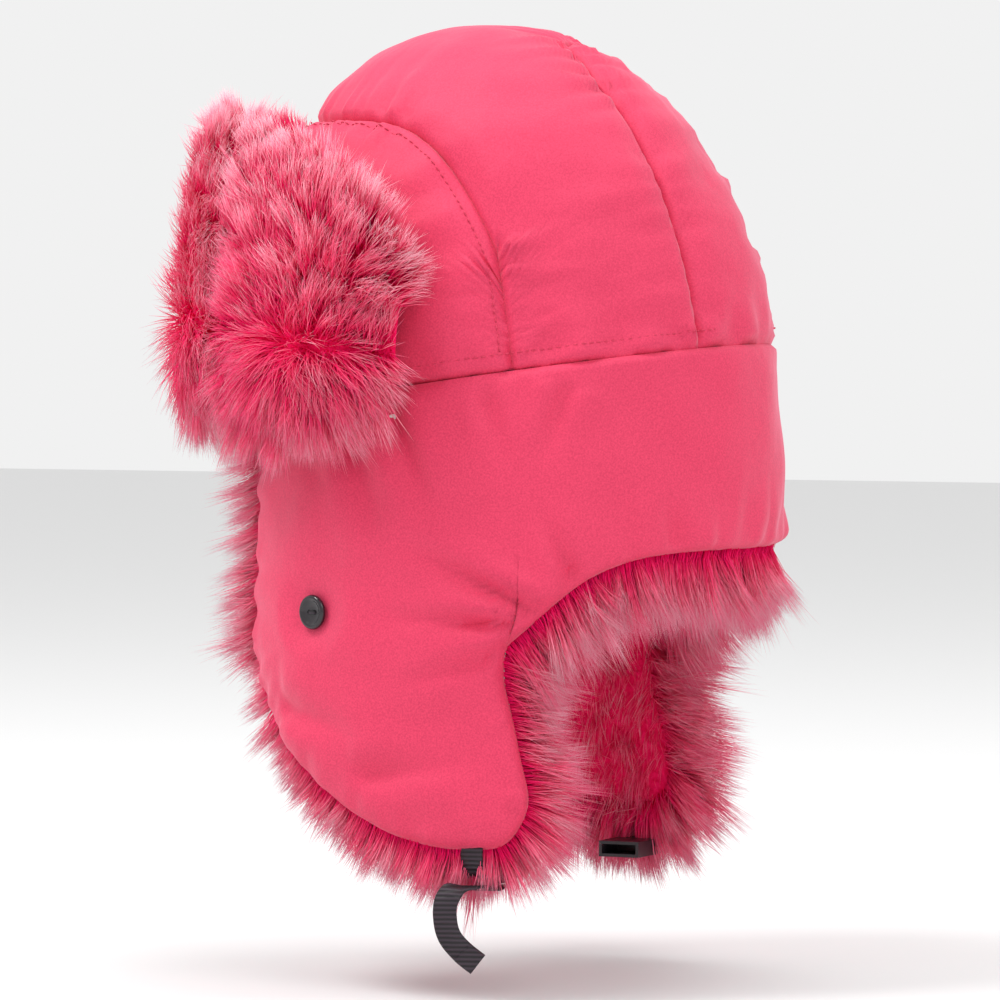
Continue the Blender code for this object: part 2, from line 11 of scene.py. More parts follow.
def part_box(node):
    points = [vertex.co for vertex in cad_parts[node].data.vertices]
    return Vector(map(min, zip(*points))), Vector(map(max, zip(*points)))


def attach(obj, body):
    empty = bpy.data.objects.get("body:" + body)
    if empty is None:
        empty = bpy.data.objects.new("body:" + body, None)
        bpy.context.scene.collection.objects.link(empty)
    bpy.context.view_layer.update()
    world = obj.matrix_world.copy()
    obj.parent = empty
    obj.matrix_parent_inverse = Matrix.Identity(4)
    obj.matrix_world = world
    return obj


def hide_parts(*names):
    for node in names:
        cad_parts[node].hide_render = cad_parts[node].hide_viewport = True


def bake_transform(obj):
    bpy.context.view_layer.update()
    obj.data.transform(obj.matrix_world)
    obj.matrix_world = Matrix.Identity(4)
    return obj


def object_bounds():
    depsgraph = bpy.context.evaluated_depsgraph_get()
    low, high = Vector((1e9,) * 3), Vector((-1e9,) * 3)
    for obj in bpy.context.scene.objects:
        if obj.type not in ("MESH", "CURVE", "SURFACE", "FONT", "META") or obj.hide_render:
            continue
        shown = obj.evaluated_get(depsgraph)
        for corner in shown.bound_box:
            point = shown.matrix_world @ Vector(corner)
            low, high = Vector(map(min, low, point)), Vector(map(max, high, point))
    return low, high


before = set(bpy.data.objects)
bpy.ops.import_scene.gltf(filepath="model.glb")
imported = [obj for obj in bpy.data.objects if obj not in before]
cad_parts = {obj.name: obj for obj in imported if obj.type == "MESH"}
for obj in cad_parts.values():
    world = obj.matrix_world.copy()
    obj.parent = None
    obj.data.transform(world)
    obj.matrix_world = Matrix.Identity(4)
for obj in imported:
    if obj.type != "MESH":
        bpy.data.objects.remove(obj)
CAD_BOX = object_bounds()
RANDOM = np.random.default_rng(7)

# The pile's tips stay within reach of the CAD box.
_LOW, _HIGH = (np.array(corner) for corner in CAD_BOX)
TIP_MARGIN = 0.03 * (_HIGH - _LOW) + 0.0085
TIP_LOW, TIP_HIGH = _LOW - TIP_MARGIN, _HIGH + TIP_MARGIN

# Crown, as in the CAD model
BAND_HALF_WIDTH = 0.096
BAND_HALF_LENGTH = 0.111
CROWN_HEIGHT = 0.144
CROWN_ROUNDNESS = 2.15
CROWN_PITCH = radians(8.3)
SIDE_SEAM, BACK_SEAM = 22.0, 67.0
FRONT_ARCH = (0.20, 0.60)
BACK_ARCH = (0.57, 0.75)
CROWN_COLUMNS = (26, 26, 26, 104)  # in the back leg, back arch, back leg and front arch
CROWN_ARC = 0.20  # from the band seam over the cloth to the top
CLOTH_THICKNESS = 0.0011
WADDING_DEPTHS, LINING_DEPTHS, SWEATBAND_DEPTHS = (0.0052, 0.0076), (0.0080, 0.0090), (0.0106, 0.0118)
STITCH_RISE = 0.0070  # topstitching above the band seam
STITCH_ASIDE = 0.0042  # topstitching beside the front arch

# Skirt and ear flaps
FACE_EDGE = -50.0
FOLD_HEIGHT = -0.104
NAPE_HEIGHT = -0.066
SKIRT_FLARE, FLAP_TAPER = 0.040, 0.050
FLAP_LENGTH = 0.0800
FLAP_FRONT, FLAP_BACK, FLAP_TIP = -0.0873, 0.045, 0.019
FLAP_FRONT_POWER, FLAP_BACK_POWER, HEM_POWER = 1.75, 6, 5  # how square each stretch of the edge is
WAIST = ((-0.0072, -0.113, 0.020), (0.0062, -0.166, 0.015))  # shift, height, spread: the flap's back edge
WAIST_TOP, WAIST_FADE = -0.082, 0.02
PADDING_INSET = 0.004
CREASE_STRENGTH = 2.4
UNDERCOAT_DEPTH, ROOT_DEPTH, INNER_ROOT_DEPTH = 0.0062, 0.0060, 0.0135  # pile, behind the cloth's face
EDGE_ROLL = 0.0045  # radius of the padded edges
CLOTH_AND_PADDING = 0.0055

# Front flap
BRIM_HALF_ANGLE = 88.0
BRIM_BOTTOM, BRIM_TOP = (-0.004, -0.022), (0.100, 0.072)
BRIM_STANDOFF, BRIM_LEAN = 0.0072, 0.11
BRIM_END_LIFT, BRIM_END_DROP = 0.028, 0.034  # how far its lower and upper edges close in at the temples
BRIM_BACKING, BRIM_INTERLINING, BRIM_UNDERCOAT, BRIM_ROOTS = 0.0012, (0.0022, 0.0046), 0.0050, 0.0060
BRIM_MARGIN, INTERLINING_INSET = 0.003, 0.005  # the pile overhangs the cloth; the interlining stops short
LOBES = ((-0.79, 0.24), (0.0, 0.52), (0.79, 0.24))  # middles and half widths of the pile's three lobes

BUTTON_Y, BUTTON_Z, BUTTON_RADIUS, BUTTON_THICKNESS = -0.0436, -0.0910, 0.0070, 0.0026
HOLE_ASIDE, HOLE_RADIUS = 0.0017, 0.0009

STRAP_WIDTH, STRAP_THICKNESS = 0.0095, 0.0013
STRAP_Y, STRAP_HEM_X = 0.024, 0.0903
STRAP_FOOT_X, STRAP_FOOT_Z = 0.0793, -0.1955
FOLDED_END = 0.008  # length of the tail's doubled end

# Colours, linear
CLOTH_LIT = (0.72, 0.032, 0.105)
PILE_DEEP = (0.90, 0.000, 0.085)
PILE_HOT = (0.99, 0.008, 0.150)
PILE_PALE = (1.0, 0.74, 0.81)
UNDERCOAT_DEEP, UNDERCOAT_HOT = (0.80, 0.001, 0.075), (0.96, 0.010, 0.135)
LINING_PINK = (0.62, 0.020, 0.090)
THREAD_PINK = (0.62, 0.030, 0.090)
WADDING_WHITE = (0.80, 0.78, 0.75)
NEAR_BLACK = (0.012, 0.008, 0.012)


# --- surfaces


def dome(angle, rise, offset):
    """The crown's surface, for arrays of angles in degrees, rises from 0 to 1 and offsets."""
    turn, lift = np.radians(angle), np.clip(rise, 0, 1) * pi / 2
    power = 2.0 / CROWN_ROUNDNESS
    out = np.clip(np.cos(lift), 0, 1) ** power
    up = np.sin(lift) ** power
    x = (BAND_HALF_WIDTH + offset) * np.cos(turn) * out
    y = (BAND_HALF_LENGTH + offset) * np.sin(turn) * out
    z = (CROWN_HEIGHT + offset) * up
    c, s = cos(CROWN_PITCH), sin(CROWN_PITCH)
    return np.stack([x, y * c - z * s, y * s + z * c], -1)


def arch(angle):
    """Share of the rise at which the panels' seam crosses a column."""
    angle = (angle - SIDE_SEAM) % 360.0 + SIDE_SEAM
    if angle > 180.0 - SIDE_SEAM:
        t = abs(angle - 270.0) / (90.0 + SIDE_SEAM)
        return FRONT_ARCH[1] + (FRONT_ARCH[0] - FRONT_ARCH[1]) * (0.25 * t**2 + 0.75 * t**10)
    if angle > 90.0:
        angle = 180.0 - angle
    if angle < BACK_SEAM:
        t = (angle - SIDE_SEAM) / (BACK_SEAM - SIDE_SEAM)
        return FRONT_ARCH[0] + (BACK_ARCH[0] - FRONT_ARCH[0]) * t
    t = (90.0 - angle) / (90.0 - BACK_SEAM)
    return BACK_ARCH[1] + (BACK_ARCH[0] - BACK_ARCH[1]) * t**2.6


def skirt_place(angle, z, offset):
    """A place on the flared skirt or the tapering ear flap, at a height."""
    turn = np.radians(angle)
    flare = -SKIRT_FLARE * np.maximum(z, FOLD_HEIGHT) + FLAP_TAPER * np.minimum(z - FOLD_HEIGHT, 0.0)
    x = (BAND_HALF_WIDTH + offset + flare) * np.cos(turn)
    y = (BAND_HALF_LENGTH + offset + flare) * np.sin(turn) * cos(CROWN_PITCH)
    return np.stack([x, y, z + 0 * x], -1)


REACH = (BAND_HALF_LENGTH - SKIRT_FLARE * FOLD_HEIGHT) * cos(CROWN_PITCH)


def side_angle(y):
    return degrees(asin(y / REACH))


def lower_edge(angle):
    """Height of the cloth's lower edge: round the ear flap, then along the nape hem."""
    y = REACH * sin(radians(angle))
    if y < FLAP_TIP:
        share = min((FLAP_TIP - y) / (FLAP_TIP - FLAP_FRONT), 1.0)
        return FOLD_HEIGHT - FLAP_LENGTH * (1.0 - share**FLAP_FRONT_POWER) ** (1 / FLAP_FRONT_POWER)
    if y < FLAP_BACK:
        share = (y - FLAP_TIP) / (FLAP_BACK - FLAP_TIP)
        return FOLD_HEIGHT - FLAP_LENGTH * (1.0 - share**FLAP_BACK_POWER) ** (1 / FLAP_BACK_POWER)
    past = (90.0 - angle) / (90.0 - side_angle(FLAP_BACK))
    return NAPE_HEIGHT + (FOLD_HEIGHT - NAPE_HEIGHT) * past**HEM_POWER


def side_columns(count):
    """Column angles and lower edges from the face edge to the middle of the back, evenly along the edge."""
    angles = np.concatenate(
        [np.linspace(FACE_EDGE, side_angle(FLAP_BACK), 3000), np.linspace(side_angle(FLAP_BACK), 90, 800)[1:]]
    )
    lows = np.array([lower_edge(a) for a in angles])
    run = np.hypot(np.diff(np.radians(angles)) * 0.12, np.diff(lows))
    along = np.concatenate([[0.0], np.cumsum(run)])
    even = np.linspace(0.0, along[-1], count)
    return np.interp(even, along, angles), np.interp(even, along, lows)


SIDE_COUNT = 150
SIDE_ANGLES, SIDE_LOWS = side_columns(SIDE_COUNT)
SIDE_SHARES = np.linspace(0.0, 1.0, SIDE_COUNT)
SIDE_BACK_EDGE = float(np.interp(side_angle(FLAP_BACK), SIDE_ANGLES, SIDE_SHARES))


def side_surface(u, t, offset, below=0.0):
    """Skirt and ear flap as one surface: u along the lower edge, t from the band down to the edge."""
    angle = np.interp(u, SIDE_SHARES, SIDE_ANGLES)
    low = np.interp(u, SIDE_SHARES, SIDE_LOWS) - below
    top = (BAND_HALF_LENGTH + offset) * np.sin(np.radians(angle)) * sin(CROWN_PITCH)
    z = top + (low - top) * t
    place = skirt_place(angle, z, offset)
    near_back = np.clip(place[..., 1] / FLAP_BACK, 0, 1) ** 2 * np.clip((WAIST_TOP - z) / WAIST_FADE, 0, 1)
    waist = sum(shift * np.exp(-(((z - height) / spread) ** 2)) for shift, height, spread in WAIST)
    place[..., 1] += near_back * waist
    return place


def brim_surface(share, up, offset, margin=0.0):
    """The turned-up front flap: share from temple to temple, up from its fold to its free edge."""
    angle = 270.0 + (BRIM_HALF_ANGLE + np.degrees(margin / BAND_HALF_LENGTH)) * share
    ends = np.abs(share) ** 3
    low = BRIM_BOTTOM[0] + (BRIM_BOTTOM[1] - BRIM_BOTTOM[0]) * ends + BRIM_END_LIFT * ends**3 - margin
    high = BRIM_TOP[0] + (BRIM_TOP[1] - BRIM_TOP[0]) * ends - BRIM_END_DROP * ends**3 + margin
    lean = 1.0 - BRIM_LEAN * np.clip(up, 0, 1) ** 3
    turn = np.radians(angle)
    x = ((BAND_HALF_WIDTH + BRIM_STANDOFF) * lean + offset) * np.cos(turn)
    y = ((BAND_HALF_LENGTH + BRIM_STANDOFF) * lean + offset) * np.sin(turn)
    return np.stack([x, y, low + (high - low) * up + 0 * x], -1)


def unit(v):
    return v / np.maximum(np.linalg.norm(v, axis=-1, keepdims=True), 1e-12)


def surface_frame(surface, u, v, step=1e-3):
    """Places, outward normals and the two tangents of a surface at parameters u, v."""
    place = surface(u, v)
    along = surface(u + step, v) - surface(u - step, v)
    across = surface(u, v + step) - surface(u, v - step)
    normal = unit(np.cross(along, across))
    outward = np.sign(np.sum(normal * (place * [1, 1, 0]), -1, keepdims=True))
    return place, normal * outward, unit(along), unit(across)


# --- meshes


def new_object(name, mesh, look):
    made = bpy.data.objects.new(name, mesh)
    mesh.materials.append(look)
    bpy.context.scene.collection.objects.link(made)
    return made


def mesh_from(name, vertices, faces, smooth=True):
    mesh = bpy.data.meshes.new(name)
    mesh.from_pydata(vertices if isinstance(vertices, list) else vertices.tolist(), [], faces)
    mesh.polygons.foreach_set("use_smooth", [smooth] * len(mesh.polygons))
    mesh.update()
    return mesh


def layer(name, outer, inner, look, wrap=False, cells=None, flip=False):
    """A closed sheet between two grids of points, shape (rows, columns, 3), over all cells or a mask."""
    rows, columns = outer.shape[:2]
    ids, vertices, faces = {}, [], []

    def corner(r, c, side):
        c = c % columns if wrap else c
        grid = (outer, inner)[side]
        at = (round(grid[r, c][0], 7), round(grid[r, c][1], 7), round(grid[r, c][2], 7), side)
        if at not in ids:
            ids[at] = len(vertices)
            vertices.append(tuple(grid[r, c]))
        return ids[at]

    def face(*ring):
        clean = [v for i, v in enumerate(ring) if v != ring[i - 1]]
        if len(clean) > 2:
            faces.append(clean[::-1] if flip else clean)

    last = columns if wrap else columns - 1
    if cells is None:
        cells = np.ones((rows - 1, last), bool)

    def has(r, c):
        c = c % columns if wrap else c
        return 0 <= r < rows - 1 and 0 <= c < last and cells[r, c]

    for r, c in zip(*np.nonzero(cells)):
        r, c = int(r), int(c)
        ring = ((r, c), (r, c + 1), (r + 1, c + 1), (r + 1, c))
        face(*(corner(*at, 0) for at in ring))
        face(*(corner(*at, 1) for at in reversed(ring)))
        beside = ((r - 1, c), (r, c + 1), (r + 1, c), (r, c - 1))
        for k in range(4):
            if not has(*beside[k]):
                a, b = ring[k], ring[(k + 1) % 4]
                face(corner(*b, 0), corner(*a, 0), corner(*a, 1), corner(*b, 1))
    made = new_object(name, mesh_from(name, vertices, faces), look)
    made.data.set_sharp_from_angle(angle=radians(62))
    return made


def ripple(places, scale, seed):
    """Smooth noise at each place, about -1 to 1."""
    flat = (places.reshape(-1, 3) * scale + seed).tolist()
    return np.array([noise.noise(p) for p in flat]).reshape(places.shape[:-1])


def nearest(points, places):
    """Distance from each place to a set of points, and which point is nearest."""
    tree = KDTree(len(points))
    for i, p in enumerate(points):
        tree.insert(p, i)
    tree.balance()
    found = [tree.find(p) for p in places.reshape(-1, 3).tolist()]
    distance = np.array([f[2] for f in found]).reshape(places.shape[:-1])
    which = np.array([f[1] for f in found]).reshape(places.shape[:-1])
    return distance, which


def roll(distance, radius=EDGE_ROLL):
    """How far a padded edge has turned in at a distance from it."""
    share = 1.0 - np.clip(distance / radius, 0, 1)
    return radius * (1.0 - np.sqrt(1.0 - share**2))


# --- materials


def shader_of(name, roughness, specular=0.5):
    look = bpy.data.materials.new(name)
    look.use_nodes = True
    shader = look.node_tree.nodes["Principled BSDF"]
    shader.inputs["Roughness"].default_value = roughness
    shader.inputs["Specular IOR Level"].default_value = specular
    return look, look.node_tree, shader


def node(tree, kind, **values):
    made = tree.nodes.new(kind)
    for name, value in values.items():
        if name in made.inputs:
            made.inputs[name].default_value = value
        else:
            setattr(made, name, value)
    return made


def ramp(tree, source, stops):
    made = tree.nodes.new("ShaderNodeValToRGB")
    while len(made.color_ramp.elements) < len(stops):
        made.color_ramp.elements.new(0.5)
    for element, (place, colour) in zip(made.color_ramp.elements, stops):
        element.position = place
        element.color = (*colour, 1.0)
    tree.links.new(source, made.inputs["Fac"])
    return made.outputs["Color"]


def object_coordinates(tree):
    return tree.nodes.new("ShaderNodeTexCoord").outputs["Object"]


def bumps(tree, shader, coordinates, layers):
    """Stacked bumps from noise: (scale, detail, strength, depth in metres)."""
    normal = None
    for scale, detail, strength, depth in layers:
        grain = node(tree, "ShaderNodeTexNoise", Scale=scale, Detail=detail)
        tree.links.new(coordinates, grain.inputs["Vector"])
        bump = node(tree, "ShaderNodeBump", Strength=strength, Distance=depth)
        tree.links.new(grain.outputs["Fac"], bump.inputs["Height"])
        if normal:
            tree.links.new(normal, bump.inputs["Normal"])
        normal = bump.outputs["Normal"]
    tree.links.new(normal, shader.inputs["Normal"])


def cloth_material(name, colour, sheen=0.35):
    """Fine plain weave: a faint mottle of yarns, small crinkles and a soft sheen."""
    look, tree, shader = shader_of(name, 0.62, 0.35)
    coordinates = object_coordinates(tree)
    yarn = node(tree, "ShaderNodeTexNoise", Scale=1400.0, Detail=2.0)
    tree.links.new(coordinates, yarn.inputs["Vector"])
    darker = tuple(0.86 * c for c in colour)
    paler = tuple(min(1.0, 1.05 * c + 0.012) for c in colour)
    colours = ramp(tree, yarn.outputs["Fac"], [(0.30, darker), (0.70, paler)])
    tree.links.new(colours, shader.inputs["Base Color"])
    shader.inputs["Sheen Weight"].default_value = sheen
    shader.inputs["Sheen Roughness"].default_value = 0.45
    shader.inputs["Sheen Tint"].default_value = (1.0, 0.55, 0.68, 1.0)
    crinkles = [(38.0, 3.0, 0.22, 0.004), (150.0, 2.0, 0.16, 0.001), (1500.0, 1.0, 0.25, 0.0002)]
    bumps(tree, shader, coordinates, crinkles)
    return look


def pile_material(name, deep, hot, pale):
    """Pile fibre: saturated at the root, frosted at the tip; each strand has its own tone."""
    look, tree, shader = shader_of(name, 0.75, 0.05)
    along = node(tree, "ShaderNodeAttribute", attribute_name="along").outputs["Fac"]
    tone = node(tree, "ShaderNodeAttribute", attribute_name="tone").outputs["Fac"]
    middle = tuple(0.55 * h + 0.45 * p for h, p in zip(hot, pale))
    frosted = ramp(tree, along, [(0.0, deep), (0.25, hot), (0.45, hot), (0.72, middle), (1.0, pale)])
    faint = tuple(0.85 * h + 0.15 * p for h, p in zip(hot, pale))
    plain = ramp(tree, along, [(0.0, deep), (0.30, hot), (1.0, faint)])
    mix = node(tree, "ShaderNodeMix", data_type="RGBA")
    tree.links.new(tone, mix.inputs["Factor"])
    colour_in = [s for s in mix.inputs if s.type == "RGBA"]
    colour_out = [s for s in mix.outputs if s.type == "RGBA"][0]
    tree.links.new(plain, colour_in[0])
    tree.links.new(frosted, colour_in[1])
    tree.links.new(colour_out, shader.inputs["Base Color"])
    return look


def undercoat_material(name, deep, hot):
    look, tree, shader = shader_of(name, 0.85, 0.1)
    coordinates = object_coordinates(tree)
    tufts = node(tree, "ShaderNodeTexNoise", Scale=420.0, Detail=3.0)
    tree.links.new(coordinates, tufts.inputs["Vector"])
    tree.links.new(ramp(tree, tufts.outputs["Fac"], [(0.35, deep), (0.70, hot)]), shader.inputs["Base Color"])
    bumps(tree, shader, coordinates, [(420.0, 3.0, 0.8, 0.002)])
    return look


def webbing_material():
    """Narrow woven tape: ribs across it."""
    look, tree, shader = shader_of("webbing_black", 0.55, 0.4)
    coordinates = object_coordinates(tree)
    ribs = node(tree, "ShaderNodeTexWave", Scale=170.0, Distortion=0.6)
    ribs.bands_direction = "Z"
    tree.links.new(coordinates, ribs.inputs["Vector"])
    colours = ramp(tree, ribs.outputs["Fac"], [(0.0, (0.006, 0.004, 0.006)), (1.0, (0.040, 0.026, 0.038))])
    tree.links.new(colours, shader.inputs["Base Color"])
    bump = node(tree, "ShaderNodeBump", Strength=0.6, Distance=0.0004)
    tree.links.new(ribs.outputs["Fac"], bump.inputs["Height"])
    tree.links.new(bump.outputs["Normal"], shader.inputs["Normal"])
    return look


def plastic_material(name, roughness):
    look, tree, shader = shader_of(name, roughness, 0.55)
    coordinates = object_coordinates(tree)
    wear = node(tree, "ShaderNodeTexNoise", Scale=260.0, Detail=3.0)
    tree.links.new(coordinates, wear.inputs["Vector"])
    colours = ramp(tree, wear.outputs["Fac"], [(0.3, NEAR_BLACK), (0.8, (0.022, 0.016, 0.020))])
    tree.links.new(colours, shader.inputs["Base Color"])
    return look


# --- crown


def spans(pairs):
    return np.concatenate([np.linspace(a, b, n, endpoint=False) for a, b, n in pairs])


def crown_grid():
    """Column angles in step with the seams, and each grid point's rise."""
    turns = (SIDE_SEAM, BACK_SEAM, 180 - BACK_SEAM, 180 - SIDE_SEAM, 360 + SIDE_SEAM)
    angles = spans(zip(turns, turns[1:], CROWN_COLUMNS))
    seams = np.array([arch(a) for a in angles])
    below, above = 44, 36
    rises = [seams * i / below for i in range(below)]
    rises += [seams + (1.0 - seams) * i / above for i in range(above + 1)]
    return angles, np.array(rises), below


def seam_points():
    """Points along the band seam, the front arch and the back arch."""
    band = dome(np.linspace(0, 360, 1400), np.zeros(1400), 0.0)
    front = np.linspace(180 - SIDE_SEAM, 360 + SIDE_SEAM, 1600)
    back = np.linspace(BACK_SEAM, 180 - BACK_SEAM, 900)
    arches = [dome(a, np.array([arch(x) for x in a]), 0.0) for a in (front, back)]
    legs = []
    for angle, rise in ((SIDE_SEAM, FRONT_ARCH[0]), (BACK_SEAM, BACK_ARCH[0])):
        for side in (angle, 180 - angle):
            legs.append(dome(np.full(500, side), np.linspace(0, rise, 500), 0.0))
    return band, np.concatenate([arches[0], legs[0], legs[1]]), np.concatenate([arches[1], legs[2], legs[3]])


def crown_offsets(grid, seams):
    """Padded relief: swelling between seams, a tight tuck at each seam, puckers across them, slow dents."""
    distance, which = nearest(np.concatenate(seams).tolist(), grid)
    swell = 0.0032 * (1.0 - np.exp(-distance / 0.013)) - roll(distance, 0.0022) - 0.0012
    pucker_at = which[..., None] * np.array([0.031, 0.0, 0.0]) + distance[..., None] * np.array([0, 22.0, 0])
    pucker = ripple(pucker_at, 1.0, 3.0) * np.exp(-distance / 0.016) * np.clip(distance / 0.004, 0, 1)
    dents = 0.0038 * ripple(grid, 17.0, 11.0) + 0.0014 * ripple(grid * [1, 1, 1.6], 46.0, 5.0)
    calm = np.clip(distance / 0.012, 0, 1)
    stitch_groove = np.exp(-(((distance - STITCH_RISE) / 0.0011) ** 2)) * (which < len(seams[0])) * 0.0006
    return swell + 0.0046 * pucker + dents * calm - stitch_groove


def build_crown(cloth):
    """The crown's cloth, parted into its three panels along the seams."""
    angles, rises, below = crown_grid()
    count = len(angles)
    columns = np.tile(angles, (rises.shape[0], 1))
    base = dome(columns, rises, 0.0)
    offsets = crown_offsets(base, seam_points())
    offsets[-1, :] = offsets[-1].mean()
    outer = dome(columns, rises, offsets)
    inner = dome(columns, rises, offsets - CLOTH_THICKNESS)
    row = np.arange(rises.shape[0] - 1)[:, None]
    column = np.arange(count)[None, :]
    arch_start, arch_end, front_start = np.cumsum(CROWN_COLUMNS[:3])
    back = (row < below) & (column >= arch_start) & (column < arch_end)
    front = (row < below) & (column >= front_start)
    parts = {"front": front, "back": back, "middle": ~(front | back)}
    for panel, cells in parts.items():
        made = layer(f"crown_{panel}_cloth", outer, inner, cloth, wrap=True, cells=cells)
        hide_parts(f"crown_{panel}_panel")
        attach(made, "crown")


def build_crown_inside(lining, wadding):
    """Wadding between the cloth and a quilted lining, then the sweatband."""
    angles = np.linspace(0, 360, 96, endpoint=False)
    rises = np.linspace(0, 1, 34)
    columns = np.tile(angles, (len(rises), 1))
    lifts = np.tile(rises[:, None], (1, len(angles)))
    base = dome(columns, lifts, 0.0)
    sag = 0.0005 * ripple(base, 30.0, 2.0)
    sag[-1, :] = sag[-1, 0]
    skin, back = (dome(columns, lifts, -depth) for depth in WADDING_DEPTHS)
    padding = layer("crown_wadding", skin, back, wadding, wrap=True)
    quilt = np.minimum(np.abs(np.sin(np.radians(columns * 4))), np.abs(np.sin(lifts * 6 * pi)))
    puff = 0.0014 * quilt * (lifts < 0.98)
    inner = layer(
        "crown_quilted_lining",
        dome(columns, lifts, -LINING_DEPTHS[0]),
        dome(columns, lifts, -LINING_DEPTHS[1] - puff + sag * (lifts < 0.98)),
        lining,
        wrap=True,
    )
    low = rises[rises < 0.14]
    ring, lift = np.tile(angles, (len(low), 1)), np.tile(low[:, None], (1, len(angles)))
    bulge = 0.0006 * np.sin(lift / low[-1] * pi)
    skin, back = dome(ring, lift, -SWEATBAND_DEPTHS[0]), dome(ring, lift, -SWEATBAND_DEPTHS[1] - bulge)
    band = layer("sweatband_tape", skin, back, lining, wrap=True)
    for made, stands_for in ((padding, "crown_padding"), (inner, "crown_lining"), (band, "sweatband")):
        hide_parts(stands_for)
        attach(made, "crown")


def stitches(name, line, normals, look, length=0.0024, pitch=0.0034, radius=0.00028):
    """A row of short rounded stitches along a line of points."""
    steps = np.linalg.norm(np.diff(line, axis=0), axis=1)
    along = np.concatenate([[0], np.cumsum(steps)])
    starts = np.arange(0, along[-1] - length, pitch)
    vertices, faces = [], []
    ring = [(cos(a), sin(a)) for a in np.linspace(0, 2 * pi, 6, endpoint=False)]
    for start in starts:
        first = len(vertices)
        for k in range(5):
            share = k / 4
            at = np.array([np.interp(start + length * share, along, line[:, i]) for i in range(3)])
            up = unit(np.array([np.interp(start, along, normals[:, i]) for i in range(3)]))
            goal = np.array([np.interp(start + length, along, line[:, i]) for i in range(3)])
            ahead = unit(goal - at + 1e-9)
            if k == 0:
                axis = ahead
            side = unit(np.cross(axis, up))
            arc = sin(share * pi)
            thick = radius * (0.45 + 0.55 * arc)
            centre = at + up * (radius * 1.1 * arc - radius * 0.25)
            vertices += [tuple(centre + side * (c * thick * 1.2) + up * (s * thick)) for c, s in ring]
        for k in range(4):
            for i in range(6):
                a, b = first + 6 * k + i, first + 6 * k + (i + 1) % 6
                faces.append((a, a + 6, b + 6, b))
        faces.append(tuple(first + i for i in range(6)))
        faces.append(tuple(first + 24 + i for i in reversed(range(6))))
    return new_object(name, mesh_from(name, vertices, faces), look)


def build_topstitching(look):
    """Stitches above the band seam and beside the front arch, down to the band at both ends."""
    seams = seam_points()
    height = STITCH_RISE / CROWN_HEIGHT
    rise = 2 / pi * asin(height ** (CROWN_ROUNDNESS / 2))
    ring = np.linspace(0, 360, 900)
    band = (ring, np.full(900, rise))
    inset = degrees(STITCH_ASIDE / BAND_HALF_LENGTH)
    front = np.linspace(180 - SIDE_SEAM + inset, 360 + SIDE_SEAM - inset, 900)
    low = np.array([arch(a) for a in front])
    stretch = (90.0 + SIDE_SEAM) / (90.0 + SIDE_SEAM - inset)
    moved = np.array([arch(270 + (a - 270) * stretch) for a in front])
    arch_rise = np.minimum(low, moved) - STITCH_ASIDE / CROWN_ARC
    legs = np.linspace(rise, max(arch_rise[-1], rise), 60)
    front_line = (
        np.concatenate([np.full(60, front[0]), front, np.full(60, front[-1])]),
        np.concatenate([legs, arch_rise, legs[::-1]]),
    )
    for name, (angle, lift) in (("band_topstitching", band), ("arch_topstitching", front_line)):
        base = dome(angle, lift, 0.0)
        offset = crown_offsets(base, seams)
        line = dome(angle, lift, offset + 0.0001)
        normals = unit(dome(angle, lift, 0.01) - base)
        made = stitches(name, line, normals, look)
        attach(made, "crown")


# --- skirt and ear flaps

CREASES = [  # from, to (behind the ear, height), half width, depth: soft folds in the side cloth
    ((0.050, -0.089), (0.002, -0.064), 0.0050, 0.0020),
    ((0.048, -0.094), (-0.008, -0.092), 0.0045, 0.0016),
    ((0.044, -0.104), (0.002, -0.117), 0.0045, 0.0014),
    ((0.066, -0.080), (0.054, -0.052), 0.0040, 0.0014),
    ((0.098, -0.072), (0.092, -0.045), 0.0040, 0.0013),
    ((-0.010, -0.012), (0.010, -0.048), 0.0060, 0.0014),
    ((-0.030, -0.018), (-0.012, -0.060), 0.0070, 0.0014),
    ((0.030, -0.004), (0.040, -0.030), 0.0050, 0.0008),
    ((0.060, -0.002), (0.052, -0.030), 0.0050, 0.0008),
    ((-0.060, -0.130), (-0.020, -0.140), 0.0080, 0.0012),
    ((-0.020, -0.155), (0.030, -0.150), 0.0070, 0.0010),
]


def crease_depth(places):
    """Depth of the soft folds: each is a groove between two low ridges, fading at its ends."""
    y, z = places[..., 1], places[..., 2]
    total = np.zeros_like(y)
    for (y0, z0), (y1, z1), width, depth in CREASES:
        dy, dz = y1 - y0, z1 - z0
        length = (dy * dy + dz * dz) ** 0.5
        share = ((y - y0) * dy + (z - z0) * dz) / length**2
        aside = ((y - y0) * dz - (z - z0) * dy) / length
        fade = np.clip(1.15 - share, 0, 1) * np.clip((share + 0.12) / 0.12, 0, 1)
        total += depth * fade * (
            0.75 * np.exp(-(((aside - 1.5 * width) / width) ** 2))
            + 0.55 * np.exp(-(((aside + 1.6 * width) / width) ** 2))
            - np.exp(-((aside / (0.6 * width)) ** 2))
        )
    return total


